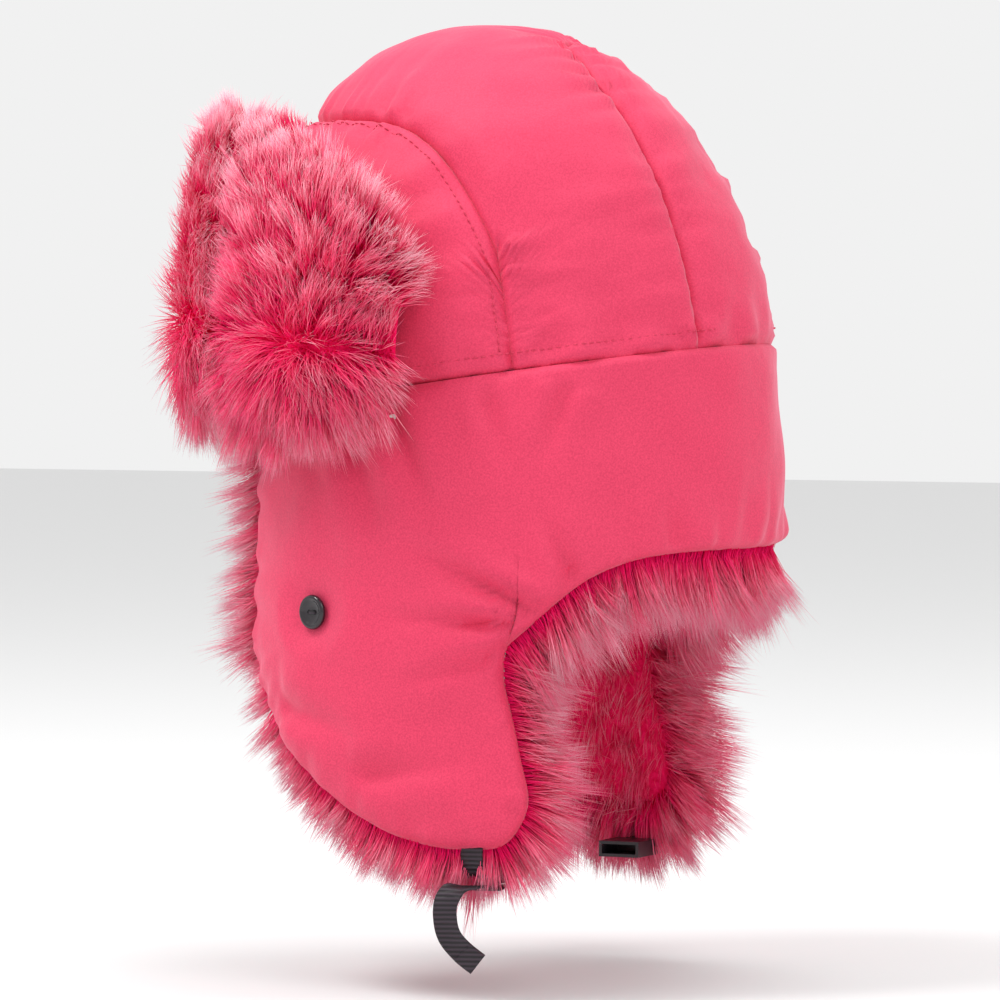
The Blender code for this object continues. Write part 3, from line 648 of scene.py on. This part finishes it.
def side_relief(base, mirror):
    """How far the side cloth stands out at each place: padded, puckered and creased, with a rolled edge."""
    edge = side_surface(np.linspace(0, 1, 2400), np.ones(2400), 0.0)
    front_edge = side_surface(np.zeros(500), np.linspace(0, 1, 500), 0.0)
    distance, which = nearest(np.concatenate([edge, front_edge]).tolist(), base)
    seed = 20.0
    band_gap = np.linalg.norm(base - base[0][None], axis=-1)
    swell = 0.0020 * (1 - np.exp(-distance / 0.020)) + 0.0012 * (1 - np.exp(-band_gap / 0.010)) - 0.0012
    dents = 0.0044 * ripple(base * mirror, 15.0, seed) + 0.0016 * ripple(base * mirror, 44.0, seed)
    pucker_at = which[..., None] * np.array([0.022, 0, 0]) + distance[..., None] * np.array([0, 30.0, 0])
    near_edge = np.exp(-distance / 0.012) * np.clip(distance / 0.003, 0, 1)
    pucker = 0.0030 * ripple(pucker_at, 1.0, seed) * near_edge
    calm = np.clip(distance / 0.012, 0, 1) * np.clip(band_gap / 0.010, 0.1, 1)
    relief = swell + dents * calm + pucker
    relief = relief + crease_depth(base) * CREASE_STRENGTH * np.clip(distance / 0.006, 0, 1)
    relief = relief * np.clip(band_gap / 0.002, 0.0, 1.0) - 0.0012 * (1 - np.clip(band_gap / 0.002, 0.0, 1.0))
    button = np.hypot(base[..., 1] - BUTTON_Y, base[..., 2] - BUTTON_Z)
    free = np.clip((button - 0.0065) / 0.012, 0, 1)
    relief = relief * free + 0.0008 * (1 - free)
    return relief - roll(distance)


def build_side_cloth(side, sign, cloth, wadding):
    """The skirt and ear flap cloth of one side, with its padded rolled edge, and the wadding behind it."""
    mirror = np.array([sign, 1, 1])
    u, v = np.meshgrid(SIDE_SHARES, np.linspace(0.0, 1.0, 64) ** 0.92)
    offset = side_relief(side_surface(u, v, 0.0), mirror)
    outer = side_surface(u, v, offset)
    inner = side_surface(u, v, np.minimum(offset - CLOTH_THICKNESS, -0.0012))
    made = layer(f"{side}_side_cloth", outer * mirror, inner * mirror, cloth, flip=sign > 0)
    u, v, offset = 0.012 + 0.988 * u[::2, ::2], v[::2, ::2], offset[::2, ::2]
    skin = side_surface(u, v, np.minimum(offset - 0.0024, -0.0030), -PADDING_INSET)
    back = side_surface(u, v, -CLOTH_AND_PADDING, -PADDING_INSET)
    inside = layer(f"{side}_side_wadding", skin * mirror, back * mirror, wadding, flip=sign > 0)
    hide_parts("skirt_cloth", f"{side}_flap_cloth")
    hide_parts("skirt_padding", f"{side}_flap_padding")
    for piece, stands_for in ((made, "skirt_cloth"), (inside, "skirt_padding")):
        bend(piece)


def bend(piece):
    """Bakes the piece's placement into its mesh."""
    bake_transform(piece)


# --- pile


def strand_mesh(name, roots, lifts, tips, radius, look, tones):
    """Tapered closed fibres: each bends from its root, past a lift point, to its tip."""
    count = len(roots)
    rings = (0.0, 0.38, 0.74)
    widths = (1.0, 0.82, 0.50)
    levels, axis = [], unit(tips - roots)
    side = unit(np.cross(axis, RANDOM.normal(size=(count, 3))))
    other = np.cross(axis, side)
    for t, width in zip(rings, widths):
        centre = (1 - t) ** 2 * roots + 2 * t * (1 - t) * lifts + t**2 * tips
        for k in range(3):
            a = 2 * pi * k / 3
            levels.append(centre + (side * cos(a) + other * sin(a)) * (radius[:, None] * width))
    levels.append(tips)
    points = np.stack(levels, 1)
    pattern = [(2, 1, 0)]
    for r in (0, 3):
        pattern += [(r + k, r + (k + 1) % 3, r + 3 + (k + 1) % 3, r + 3 + k) for k in range(3)]
    pattern += [(6 + k, 6 + (k + 1) % 3, 9) for k in range(3)]
    starts = 10 * np.arange(count)[:, None]
    loops = np.array([i for face in pattern for i in face])
    sizes = np.array([len(face) for face in pattern])
    mesh = bpy.data.meshes.new(name)
    mesh.vertices.add(10 * count)
    mesh.vertices.foreach_set("co", points.reshape(-1))
    mesh.loops.add(len(loops) * count)
    mesh.loops.foreach_set("vertex_index", (loops[None] + starts).reshape(-1))
    mesh.polygons.add(len(pattern) * count)
    totals = np.tile(sizes, count)
    mesh.polygons.foreach_set("loop_start", np.concatenate([[0], np.cumsum(totals)[:-1]]))
    mesh.polygons.foreach_set("loop_total", totals)
    mesh.polygons.foreach_set("use_smooth", np.ones(len(totals), bool))
    mesh.update(calc_edges=True)
    mesh.validate()
    shares = np.array([*np.repeat(rings, 3), 1.0])
    for label, values in (("along", np.tile(shares, count)), ("tone", np.repeat(tones, 10))):
        data = mesh.attributes.new(label, "FLOAT", "POINT")
        data.data.foreach_set("value", values.astype(np.float32))
    return new_object(name, mesh, look)


def grow(
    name, roots, normals, flows, lengths, look,
    lift=0.45, stray=0.16, clump=0.50, per_clump=22, width=0.00023, frost=0.55,
):
    """Pile from roots: fibres stand along the normal, then lie along the flow, and gather in clumps."""
    count = len(roots)
    lengths = lengths * RANDOM.uniform(0.72, 1.12, count)
    straying = RANDOM.normal(0, stray, (count, 3))
    direction = unit(normals * lift + flows + straying)
    tips = roots + direction * lengths[:, None] + np.array([0, 0, -0.16]) * lengths[:, None]
    lifts = roots + unit(normals * (lift + 0.55) + flows * 0.35) * (lengths * 0.42)[:, None]
    heads = RANDOM.choice(count, max(count // per_clump, 1), replace=False)
    _, which = nearest(roots[heads].tolist(), roots)
    leader = heads[which]
    pull = clump * RANDOM.uniform(0.55, 1.15, count)[:, None]
    swirl = RANDOM.normal(0, 0.14, (count, 3))[leader] * lengths[:, None]
    tips = tips + (tips[leader] - tips) * np.clip(pull, 0, 0.9) + swirl
    lifts = lifts + (lifts[leader] - lifts) * np.clip(pull, 0, 0.9) * 0.35
    tips = roots + (tips - roots) * kept_share(roots, tips)
    radius = width * RANDOM.uniform(0.75, 1.25, count)
    tones = np.clip(frost + RANDOM.normal(0, 0.16, count)[leader] + RANDOM.normal(0, 0.20, count), 0, 1)
    return strand_mesh(name, roots, lifts, tips, radius, look, tones)


def kept_share(roots, tips):
    """The share of each fibre that stays within reach of the CAD box."""
    step = tips - roots
    room = np.where(step > 0, TIP_HIGH - roots, roots - TIP_LOW) / np.maximum(np.abs(step), 1e-9)
    return np.clip(room.min(axis=1), 0.2, 1.0)[:, None]


def scatter(surface, count, ranges, density=None):
    """Parameters spread evenly by area over a surface, thinned where density is low."""
    kept_u, kept_v, total = [], [], 0
    (u0, u1), (v0, v1) = ranges
    while total < count:
        u, v = RANDOM.uniform(u0, u1, 4 * count), RANDOM.uniform(v0, v1, 4 * count)
        step = 1e-3
        du = (surface(u + step, v) - surface(u - step, v)) / (2 * step)
        dv = (surface(u, v + step) - surface(u, v - step)) / (2 * step)
        area = np.linalg.norm(np.cross(du, dv), axis=-1)
        weight = area * (density(u, v) if density else 1.0)
        keep = RANDOM.uniform(0, 1, len(u)) < weight / weight.max()
        kept_u.append(u[keep])
        kept_v.append(v[keep])
        total += int(keep.sum())
    return np.concatenate(kept_u)[:count], np.concatenate(kept_v)[:count]


def lobe(share):
    """How full the front flap's pile is: 1 in the middle of a lobe, 0 in the valleys between."""
    gap = np.min([np.abs(share - middle) / half for middle, half in LOBES], axis=0)
    return np.cos(np.clip(gap, 0, 1) * pi / 2) ** 0.6


def brim_swell(share, up):
    """Thickness of the front flap's undercoat."""
    edge = np.minimum((1 - np.abs(share)) * 0.16, np.minimum(up, 1 - up) * 0.11)
    return BRIM_ROOTS + (0.0055 + 0.0075 * lobe(share)) * np.clip(edge / 0.018, 0, 1) ** 0.5


def build_front_flap(cloth, under, pile):
    """The front flap: cloth backing, interlining and undercoat as sheets, then its pile in four shares."""
    share, up = np.meshgrid(np.linspace(-1, 1, 90), np.linspace(0, 1, 26))
    dent = 0.0006 * ripple(brim_surface(share, up, 0.0), 30.0, 9.0)
    backing = layer(
        "front_flap_backing",
        brim_surface(share, up, BRIM_BACKING + dent),
        brim_surface(share, up, dent),
        cloth,
        flip=True,
    )
    middle = layer(
        "front_flap_interlining",
        brim_surface(share * 0.96, up, BRIM_INTERLINING[1], -INTERLINING_INSET),
        brim_surface(share * 0.96, up, BRIM_INTERLINING[0], -INTERLINING_INSET),
        cloth,
        flip=True,
    )
    thick = brim_swell(share, up) + 0.0010 * ripple(brim_surface(share, up, 0.0), 120.0, 3.0)
    coat = layer(
        "front_flap_undercoat",
        brim_surface(share, up, thick, BRIM_MARGIN),
        brim_surface(share, up, BRIM_UNDERCOAT, BRIM_MARGIN),
        under,
        flip=True,
    )
    for made, stands_for in (
        (backing, "front_flap_cloth"),
        (middle, "front_flap_padding"),
        (coat, "front_flap_pile"),
    ):
        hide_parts(stands_for)
        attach(made, "front_flap")
    edges = (-1.0, -0.60, 0.0, 0.60, 1.0)
    for i, name in enumerate(("right_temple", "right_brow", "left_brow", "left_temple")):
        made = brim_pile(f"front_flap_{name}_pile", (edges[i : i + 2], (0.0, 1.0)), pile)
        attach(made, "front_flap")


def brim_pile(name, ranges, look):
    """A share of the front flap's pile: it fans out from the middle of each lobe and overhangs the edges."""
    count = 12300

    def surface(u, v):
        return brim_surface(u, v, BRIM_ROOTS, BRIM_MARGIN)

    share, up = scatter(surface, count, ranges, lambda u, v: 1.0 + 1.0 * (np.abs(v - 0.5) > 0.38))
    roots, normals, along, _ = surface_frame(surface, share, up)
    depth = brim_swell(share, up) - BRIM_ROOTS
    roots = roots + normals * (depth * RANDOM.uniform(0.55, 1.0, count))[:, None]
    middles, halves = np.array(LOBES).T
    which = np.argmin(np.abs(share[:, None] - middles) / halves, axis=1)
    sideways = (share - middles[which]) / halves[which]
    upward = (up - 0.30) / 0.70
    climb = np.where(upward > 0, 0.45 + 0.55 * upward, 2.2 * upward)
    flows = along * (sideways * 0.75)[:, None] + np.array([0, 0, 1.0]) * climb[:, None]
    lengths = 0.0185 + 0.004 * lobe(share)
    frost = 0.16 + 0.62 * np.clip(upward, 0, 1) ** 1.5 + 0.34 * np.clip(np.abs(sideways) - 0.45, 0, 1)
    frost = frost + 0.35 * np.clip(0.10 - up, 0, 1) / 0.10
    return grow(
        name, roots, normals, flows, lengths, look,
        lift=0.26, stray=0.15, clump=0.36, per_clump=70, frost=frost,
    )


def rim_reach(u):
    """How far the pile stands past the cloth along the edge: short in front, long at the back and nape."""
    return np.interp(u, [0.16, 0.34, 0.52, SIDE_BACK_EDGE], [0.014, 0.019, 0.024, 0.025])


def build_side_pile(side, sign, under, pile):
    """The pile lining of one side: an undercoat, the pile inside, and the rim that shows past the edge."""
    mirror = np.array([sign, 1, 1])
    u, v = np.meshgrid(np.linspace(0, 1, 110), np.linspace(0.0, 1.0, 34))
    edge = np.minimum((1 - v) * 0.15, u * 0.5 + 0.5 * (u > 0.02))
    face = side_surface(u, v, 0.0, 0.0)
    thick = 0.0065 + 0.0065 * np.clip(edge / 0.012, 0, 1) ** 0.5 + 0.0013 * ripple(face, 110.0, 8.0)
    outer = side_surface(u, v, -UNDERCOAT_DEPTH, -0.0015)
    inner = side_surface(u, v, -UNDERCOAT_DEPTH - thick, -0.0015)
    coat = layer(f"{side}_side_undercoat", outer * mirror, inner * mirror, under, flip=sign > 0)
    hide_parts("skirt_pile", f"{side}_flap_pile")
    inside = inner_pile(f"{side}_inner_pile", mirror, pile)
    rim = rim_pile(f"{side}_rim_pile", mirror, pile, (0.0, 0.45))
    behind = rim_pile(f"{side}_rim_inner_pile", mirror, pile, (0.45, 1.0))
    front = face_edge_pile(f"{side}_face_edge_pile", mirror, pile)
    for made in (coat, inside, rim, behind, front):
        bend(made)


def inner_pile(name, mirror, look):
    """The pile that faces the head, lying downwards."""
    count = 9000

    def surface(u, v):
        return side_surface(u, v, -INNER_ROOT_DEPTH, 0.003)

    u, v = scatter(surface, count, ((0.004, 0.998), (0.10, 0.99)))
    roots, normals, _, _ = surface_frame(surface, u, v)
    flows = np.array([0, 0, -0.85]) + RANDOM.normal(0, 0.25, (count, 3))
    lengths = np.full(count, 0.019)
    return grow(name, roots * mirror, -normals * mirror, flows, lengths, look, stray=0.2, frost=0.2)


def root_surface(u, t):
    """Where the rim's fibres are rooted, behind the cloth."""
    return side_surface(u, t, -ROOT_DEPTH)


def rim_pile(name, mirror, look, depths):
    """Fibres that stand past the lower edge, fanned from the edge roll, at depths behind the cloth."""
    count = 12300
    u = RANDOM.uniform(0.0, 1.0, count)
    depth = RANDOM.uniform(*depths, count)
    ones = np.ones(count)
    step = 2e-3
    here, on, before = (
        side_surface(np.clip(u + shift, 0, 1), ones, -ROOT_DEPTH) for shift in (0, step, -step)
    )
    ahead = on - before
    _, normals, _, _ = surface_frame(root_surface, np.clip(u, 0.01, 0.99), ones * 0.5)
    past = unit(np.cross(unit(ahead), normals))
    past = past * np.sign(-past[:, 2:3] + 0.35 * (u[:, None] > SIDE_BACK_EDGE - 0.2) * past[:, 1:2] + 1e-6)
    inward = 0.010 * depth - 0.0042 * (1 - depth)
    roots = here - normals * inward[:, None] - past * (0.003 + 0.005 * RANDOM.uniform(0, 1, count))[:, None]
    flows = past - normals * (0.60 * depth - 0.22)[:, None] + np.array([0, 0, -0.18])
    lengths = rim_reach(u) + 0.006
    return grow(
        name, roots * mirror, -normals * mirror, flows * mirror, lengths, look,
        lift=0.02, stray=0.15, clump=0.40, per_clump=46, frost=0.42 - 0.25 * depth,
    )


def face_edge_pile(name, mirror, look):
    """Fibres along the upright face edge, brushed forward from the crown down to the flap."""
    count = 7000
    t = RANDOM.uniform(0.02, 1.0, count)
    here = root_surface(np.zeros(count), t)
    _, normals, _, _ = surface_frame(root_surface, np.full(count, 0.01), t * 0.9)
    depth = RANDOM.uniform(0.0, 1.0, count)
    forward = np.array([-0.12, -1.0, 0.0])
    roots = here - normals * (0.010 * depth - 0.0035 * (1 - depth))[:, None]
    roots = roots - forward * (0.004 * RANDOM.uniform(0.2, 1.0, count))[:, None]
    flows = forward - normals * (0.7 * depth - 0.15)[:, None] + np.array([0, 0, -0.40])
    lengths = np.full(count, 0.026)
    return grow(name, roots * mirror, -normals * mirror, flows * mirror, lengths, look, lift=0.0, stray=0.17)


# --- button, webbing, buckle


def build_button(side, sign, look, thread_look):
    """A dished two-hole button with a polished raised rim, sewn through with thread."""
    angle = side_angle(BUTTON_Y)
    skin = Vector(skirt_place(np.array(angle), np.array(BUTTON_Z), 0.0))
    ahead = Vector(skirt_place(np.array(angle + 1.0), np.array(BUTTON_Z), 0.0))
    along = (ahead - skin).normalized()
    out = along.cross(Vector((0, 0, 1))).normalized()
    if sign < 0:
        skin.x, along.x, out.x = -skin.x, -along.x, -out.x
    turn = Matrix((along, Vector((0, 0, 1)), out)).transposed()
    base = skin + out * 0.0016
    made = button_mesh(f"{side}_coat_button", base, turn, look, flip=sign < 0)
    half, top = HOLE_ASIDE, BUTTON_THICKNESS * 0.60
    strands = []
    for shift in (-0.00035, 0.0, 0.00035):
        route = [(-half, shift, top - 0.0016), (-half, shift, top), (0, shift * 1.3, top + 0.0007)]
        route += [(half, shift, top), (half, shift, top - 0.0016)]
        strands.append([base + turn @ Vector(p) for p in route])
    thread = tube(f"{side}_button_sewing", strands, 0.00030, thread_look)
    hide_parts(f"{side}_button")
    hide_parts(f"{side}_button_thread")
    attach(made, "crown")
    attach(thread, "crown")


def button_mesh(name, base, turn, look, flip):
    """The turned button; its two holes are cut as wells through the dish."""
    made = turned_disc(name, base, turn, look, flip)
    for place in (-1, 1):
        drill(made, name, place, base, turn, flip)
    made.data.polygons.foreach_set("use_smooth", [True] * len(made.data.polygons))
    made.data.set_sharp_from_angle(angle=radians(40))
    return made


def turned_disc(name, base, turn, look, flip):
    """A disc turned from the button's profile of radius and height shares."""
    r, h = BUTTON_RADIUS, BUTTON_THICKNESS
    profile = [(0.0, 0.56), (0.30, 0.56), (0.56, 0.60), (0.66, 0.72), (0.74, 0.94), (0.82, 1.0)]
    profile += [(0.90, 0.96), (0.97, 0.78), (1.0, 0.55), (0.98, 0.28), (0.88, 0.06), (0.70, 0.0), (0.0, 0.0)]
    sides = 64
    vertices = [base + turn @ Vector((0, 0, profile[0][1] * h))]
    for share, height in profile[1:-1]:
        for i in range(sides):
            a = 2 * pi * i / sides
            vertices.append(base + turn @ Vector((share * r * cos(a), share * r * sin(a), height * h)))
    vertices.append(base.copy())
    faces, last = [], len(vertices) - 1
    for i in range(sides):
        j = (i + 1) % sides
        faces.append((0, 1 + i, 1 + j))
        for k in range(len(profile) - 3):
            a, b = 1 + k * sides, 1 + (k + 1) * sides
            faces.append((a + i, b + i, b + j, a + j))
        end = 1 + (len(profile) - 3) * sides
        faces.append((last, end + j, end + i))
    if flip:
        faces = [f[::-1] for f in faces]
    return new_object(name, mesh_from(name, [tuple(v) for v in vertices], faces), look)


def drill(made, name, place, base, turn, flip):
    """Cuts one of the button's holes right through it."""
    points, count = [], 24
    for level in (-0.5, 1.6):
        for i in range(count):
            a = 2 * pi * i / count
            spot = (place * HOLE_ASIDE + HOLE_RADIUS * cos(a), HOLE_RADIUS * sin(a), level * BUTTON_THICKNESS)
            points.append(tuple(base + turn @ Vector(spot)))
    faces = [(i, (i + 1) % count, count + (i + 1) % count, count + i) for i in range(count)]
    faces += [tuple(reversed(range(count))), tuple(range(count, 2 * count))]
    well = bpy.data.meshes.new(f"{name}_well")
    well.from_pydata(points, [], [f[::-1] for f in faces] if flip else faces)
    cutter = bpy.data.objects.new(f"{name}_well_{place}", well)
    bpy.context.scene.collection.objects.link(cutter)
    change = made.modifiers.new("well", "BOOLEAN")
    change.object = cutter
    change.operation = "DIFFERENCE"
    bpy.context.view_layer.objects.active = made
    bpy.context.view_layer.update()
    bpy.ops.object.modifier_apply(modifier=change.name)
    bpy.data.objects.remove(cutter, do_unlink=True)


def tube(name, routes, radius, look):
    """Round threads along routes, as one mesh of closed tubes."""
    vertices, faces, sides = [], [], 8
    for route in routes:
        points = smooth_route(route, 5)
        first = len(vertices)
        for i, place in enumerate(points):
            ahead = (points[min(i + 1, len(points) - 1)] - points[max(i - 1, 0)]).normalized()
            across = ahead.cross(Vector((0.31, 0.27, 0.91))).normalized()
            up = ahead.cross(across)
            for k in range(sides):
                a = 2 * pi * k / sides
                vertices.append(tuple(place + across * (radius * cos(a)) + up * (radius * sin(a))))
        for i in range(len(points) - 1):
            for k in range(sides):
                a, b = first + sides * i + k, first + sides * i + (k + 1) % sides
                faces.append((a, b, b + sides, a + sides))
        end = first + sides * (len(points) - 1)
        faces.append(tuple(first + k for k in reversed(range(sides))))
        faces.append(tuple(end + k for k in range(sides)))
    return new_object(name, mesh_from(name, vertices, faces), look)


def smooth_route(route, steps):
    """Points along a smooth curve through a route (Catmull-Rom)."""
    p = [Vector(route[0])] + [Vector(q) for q in route] + [Vector(route[-1])]
    found = []
    for i in range(1, len(p) - 2):
        for k in range(steps):
            t = k / steps
            a, b, c, d = p[i - 1 : i + 3]
            curve = 2 * b + (c - a) * t + (2 * a - 5 * b + 4 * c - d) * t**2
            found.append((curve + (3 * b - a - 3 * c + d) * t**3) / 2)
    return found + [p[-1]]


TAIL_ROUTE = [  # the loose end, from under the buckle to its folded end, as in the CAD model
    (0.0740, 0.0262, -0.1996),
    (0.0840, 0.0285, -0.2000),
    (0.0935, 0.0258, -0.1985),
    (0.1005, 0.0215, -0.1990),
    (0.1035, 0.0190, -0.2035),
    (0.1035, 0.0185, -0.2106),
    (0.1025, 0.0200, -0.2175),
    (0.1005, 0.0245, -0.2235),
    (0.0985, 0.0305, -0.2285),
]


def ribbon(name, route, across, look, thick_end=0.0):
    """Woven tape with rounded selvedges and ribs across it; its end may be folded over and thicker."""
    points = smooth_route(route, 14)
    section = [(-1.0, -0.35), (-0.92, -1.0), (0.92, -1.0), (1.0, -0.35)]
    section += [(-a, -b) for a, b in section]
    steps = [(b - a).length for a, b in zip(points, points[1:])]
    total, run = sum(steps), 0.0
    vertices, faces, sides = [], [], len(section)
    for i, place in enumerate(points):
        ahead = points[min(i + 1, len(points) - 1)] - points[max(i - 1, 0)]
        side = (Vector(across) - ahead * (Vector(across).dot(ahead) / ahead.length_squared)).normalized()
        thick = ahead.normalized().cross(side)
        folded = 1.0 + 1.1 * (thick_end > 0 and total - run < thick_end)
        rib = 1.0 + 0.10 * (i % 2)
        for a, b in section:
            shift = side * (a * STRAP_WIDTH / 2) + thick * (b * STRAP_THICKNESS / 2 * folded * rib)
            vertices.append(tuple(place + shift))
        run += steps[i] if i < len(steps) else 0.0
    for i in range(len(points) - 1):
        for k in range(sides):
            a, b = sides * i + k, sides * i + (k + 1) % sides
            faces.append((a, b, b + sides, a + sides))
    end = sides * (len(points) - 1)
    faces += [tuple(reversed(range(sides))), tuple(range(end, end + sides))]
    made = new_object(name, mesh_from(name, vertices, faces), look)
    made.data.set_sharp_from_angle(angle=radians(50))
    return made, [tuple(p) for p in points], total


def build_strap(side, sign, webbing):
    """The webbing from the hem to the buckle, and on the left the loose tail."""
    hem_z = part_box(f"{side}_strap_webbing")[1][2] + 0.0035  # sewn in under the cloth's edge
    route = [
        (STRAP_HEM_X, hem_z),
        (STRAP_HEM_X + 0.0002, hem_z - 0.0050),
        (STRAP_HEM_X - 0.0010, STRAP_FOOT_Z + 0.0030),
        (STRAP_HEM_X - 0.0050, STRAP_FOOT_Z + 0.0003),
        (STRAP_FOOT_X, STRAP_FOOT_Z),
    ]
    places = [(sign * x, STRAP_Y, z) for x, z in route]
    made, _, _ = ribbon(f"{side}_webbing", places, (0, 1, 0), webbing)
    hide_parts(f"{side}_strap_webbing")
    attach(made, f"{side}_strap")
    if sign > 0:
        tail, path, length = ribbon("left_webbing_tail", TAIL_ROUTE, (-0.30, 0.95, 0.0), webbing, FOLDED_END)
        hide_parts("left_strap_tail")
        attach(tail, "left_strap")


def soften(node_name, plastic, width):
    """A moulded piece keeps its CAD shape, with softened edges."""
    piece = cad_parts[node_name]
    piece.data.materials.clear()
    piece.data.materials.append(plastic)
    change = piece.modifiers.new("edges", "BEVEL")
    change.width = width
    change.segments = 3
    change.limit_method = "ANGLE"
    change.angle_limit = radians(35)


# --- camera and light


def build_camera():
    """A long lens from the hat's left, a little behind it."""
    azimuth, elevation, distance, width = radians(115.0), radians(2.0), 2.6, 0.41
    target = Vector((0.0022, -0.0048, -0.0485))
    back = Vector((sin(azimuth) * cos(elevation), -cos(azimuth) * cos(elevation), sin(elevation)))
    data = bpy.data.cameras.new("camera")
    data.sensor_width = 36.0
    data.lens = 36.0 * distance / width
    data.clip_end = 50.0
    camera = bpy.data.objects.new("camera", data)
    camera.location = target + back * distance
    camera.rotation_mode = "QUATERNION"
    camera.rotation_quaternion = (-back).to_track_quat("-Z", "Y")
    bpy.context.scene.collection.objects.link(camera)
    bpy.context.scene.camera = camera


def area_light(name, place, target, size, power):
    data = bpy.data.lights.new(name, "AREA")
    data.shape = "DISK"
    data.size = size
    data.energy = power
    lamp = bpy.data.objects.new(name, data)
    lamp.location = place
    lamp.rotation_mode = "QUATERNION"
    lamp.rotation_quaternion = (Vector(target) - Vector(place)).to_track_quat("-Z", "Y")
    bpy.context.scene.collection.objects.link(lamp)


def build_stage():
    """A white studio: an even world, a pale floor and three soft lights."""
    scene = bpy.context.scene
    world = bpy.data.worlds.new("studio")
    world.use_nodes = True
    background = world.node_tree.nodes["Background"]
    background.inputs["Color"].default_value = (1.0, 1.0, 1.0, 1.0)
    background.inputs["Strength"].default_value = 0.88
    scene.world = world
    scene.view_settings.view_transform = "Standard"
    floor_look, _, shader = shader_of("floor", 0.9, 0.1)
    shader.inputs["Base Color"].default_value = (0.80, 0.80, 0.80, 1.0)
    low = CAD_BOX[0].z - 0.012
    half = 6.0
    corners = [(x * half, y * half, low) for x, y in ((-1, -1), (1, -1), (1, 1), (-1, 1))]
    floor = new_object("floor", mesh_from("floor", corners, [(0, 1, 2, 3)], smooth=False), floor_look)
    area_light("key", (0.8, -0.9, 1.9), (0, 0, -0.05), 0.9, 27.0)
    area_light("fill", (1.1, 1.4, 1.4), (0, 0, -0.05), 1.2, 10.0)
    area_light("top", (-0.2, 0.3, 2.1), (0, 0, 0), 1.2, 12.0)


def build():
    cloth = cloth_material("pink_cloth", CLOTH_LIT)
    lining = cloth_material("lining_cloth", LINING_PINK, 0.15)
    wadding = cloth_material("wadding", WADDING_WHITE, 0.1)
    thread = cloth_material("pink_thread", THREAD_PINK, 0.1)
    under = undercoat_material("pile_undercoat", UNDERCOAT_DEEP, UNDERCOAT_HOT)
    pile = pile_material("pile", PILE_DEEP, PILE_HOT, PILE_PALE)
    webbing = webbing_material()
    glossy, satin = plastic_material("button_black", 0.16), plastic_material("buckle_black", 0.38)
    build_crown(cloth)
    build_crown_inside(lining, wadding)
    build_topstitching(thread)
    build_front_flap(cloth, under, pile)
    for side, sign in (("left", 1), ("right", -1)):
        build_side_cloth(side, sign, cloth, wadding)
        build_side_pile(side, sign, under, pile)
        build_button(side, sign, glossy, webbing)
        build_strap(side, sign, webbing)
    soften("left_buckle_plug", satin, 0.0004)
    soften("right_buckle_socket", satin, 0.0006)
    build_stage()
    build_camera()
    bpy.context.view_layer.update()


build()
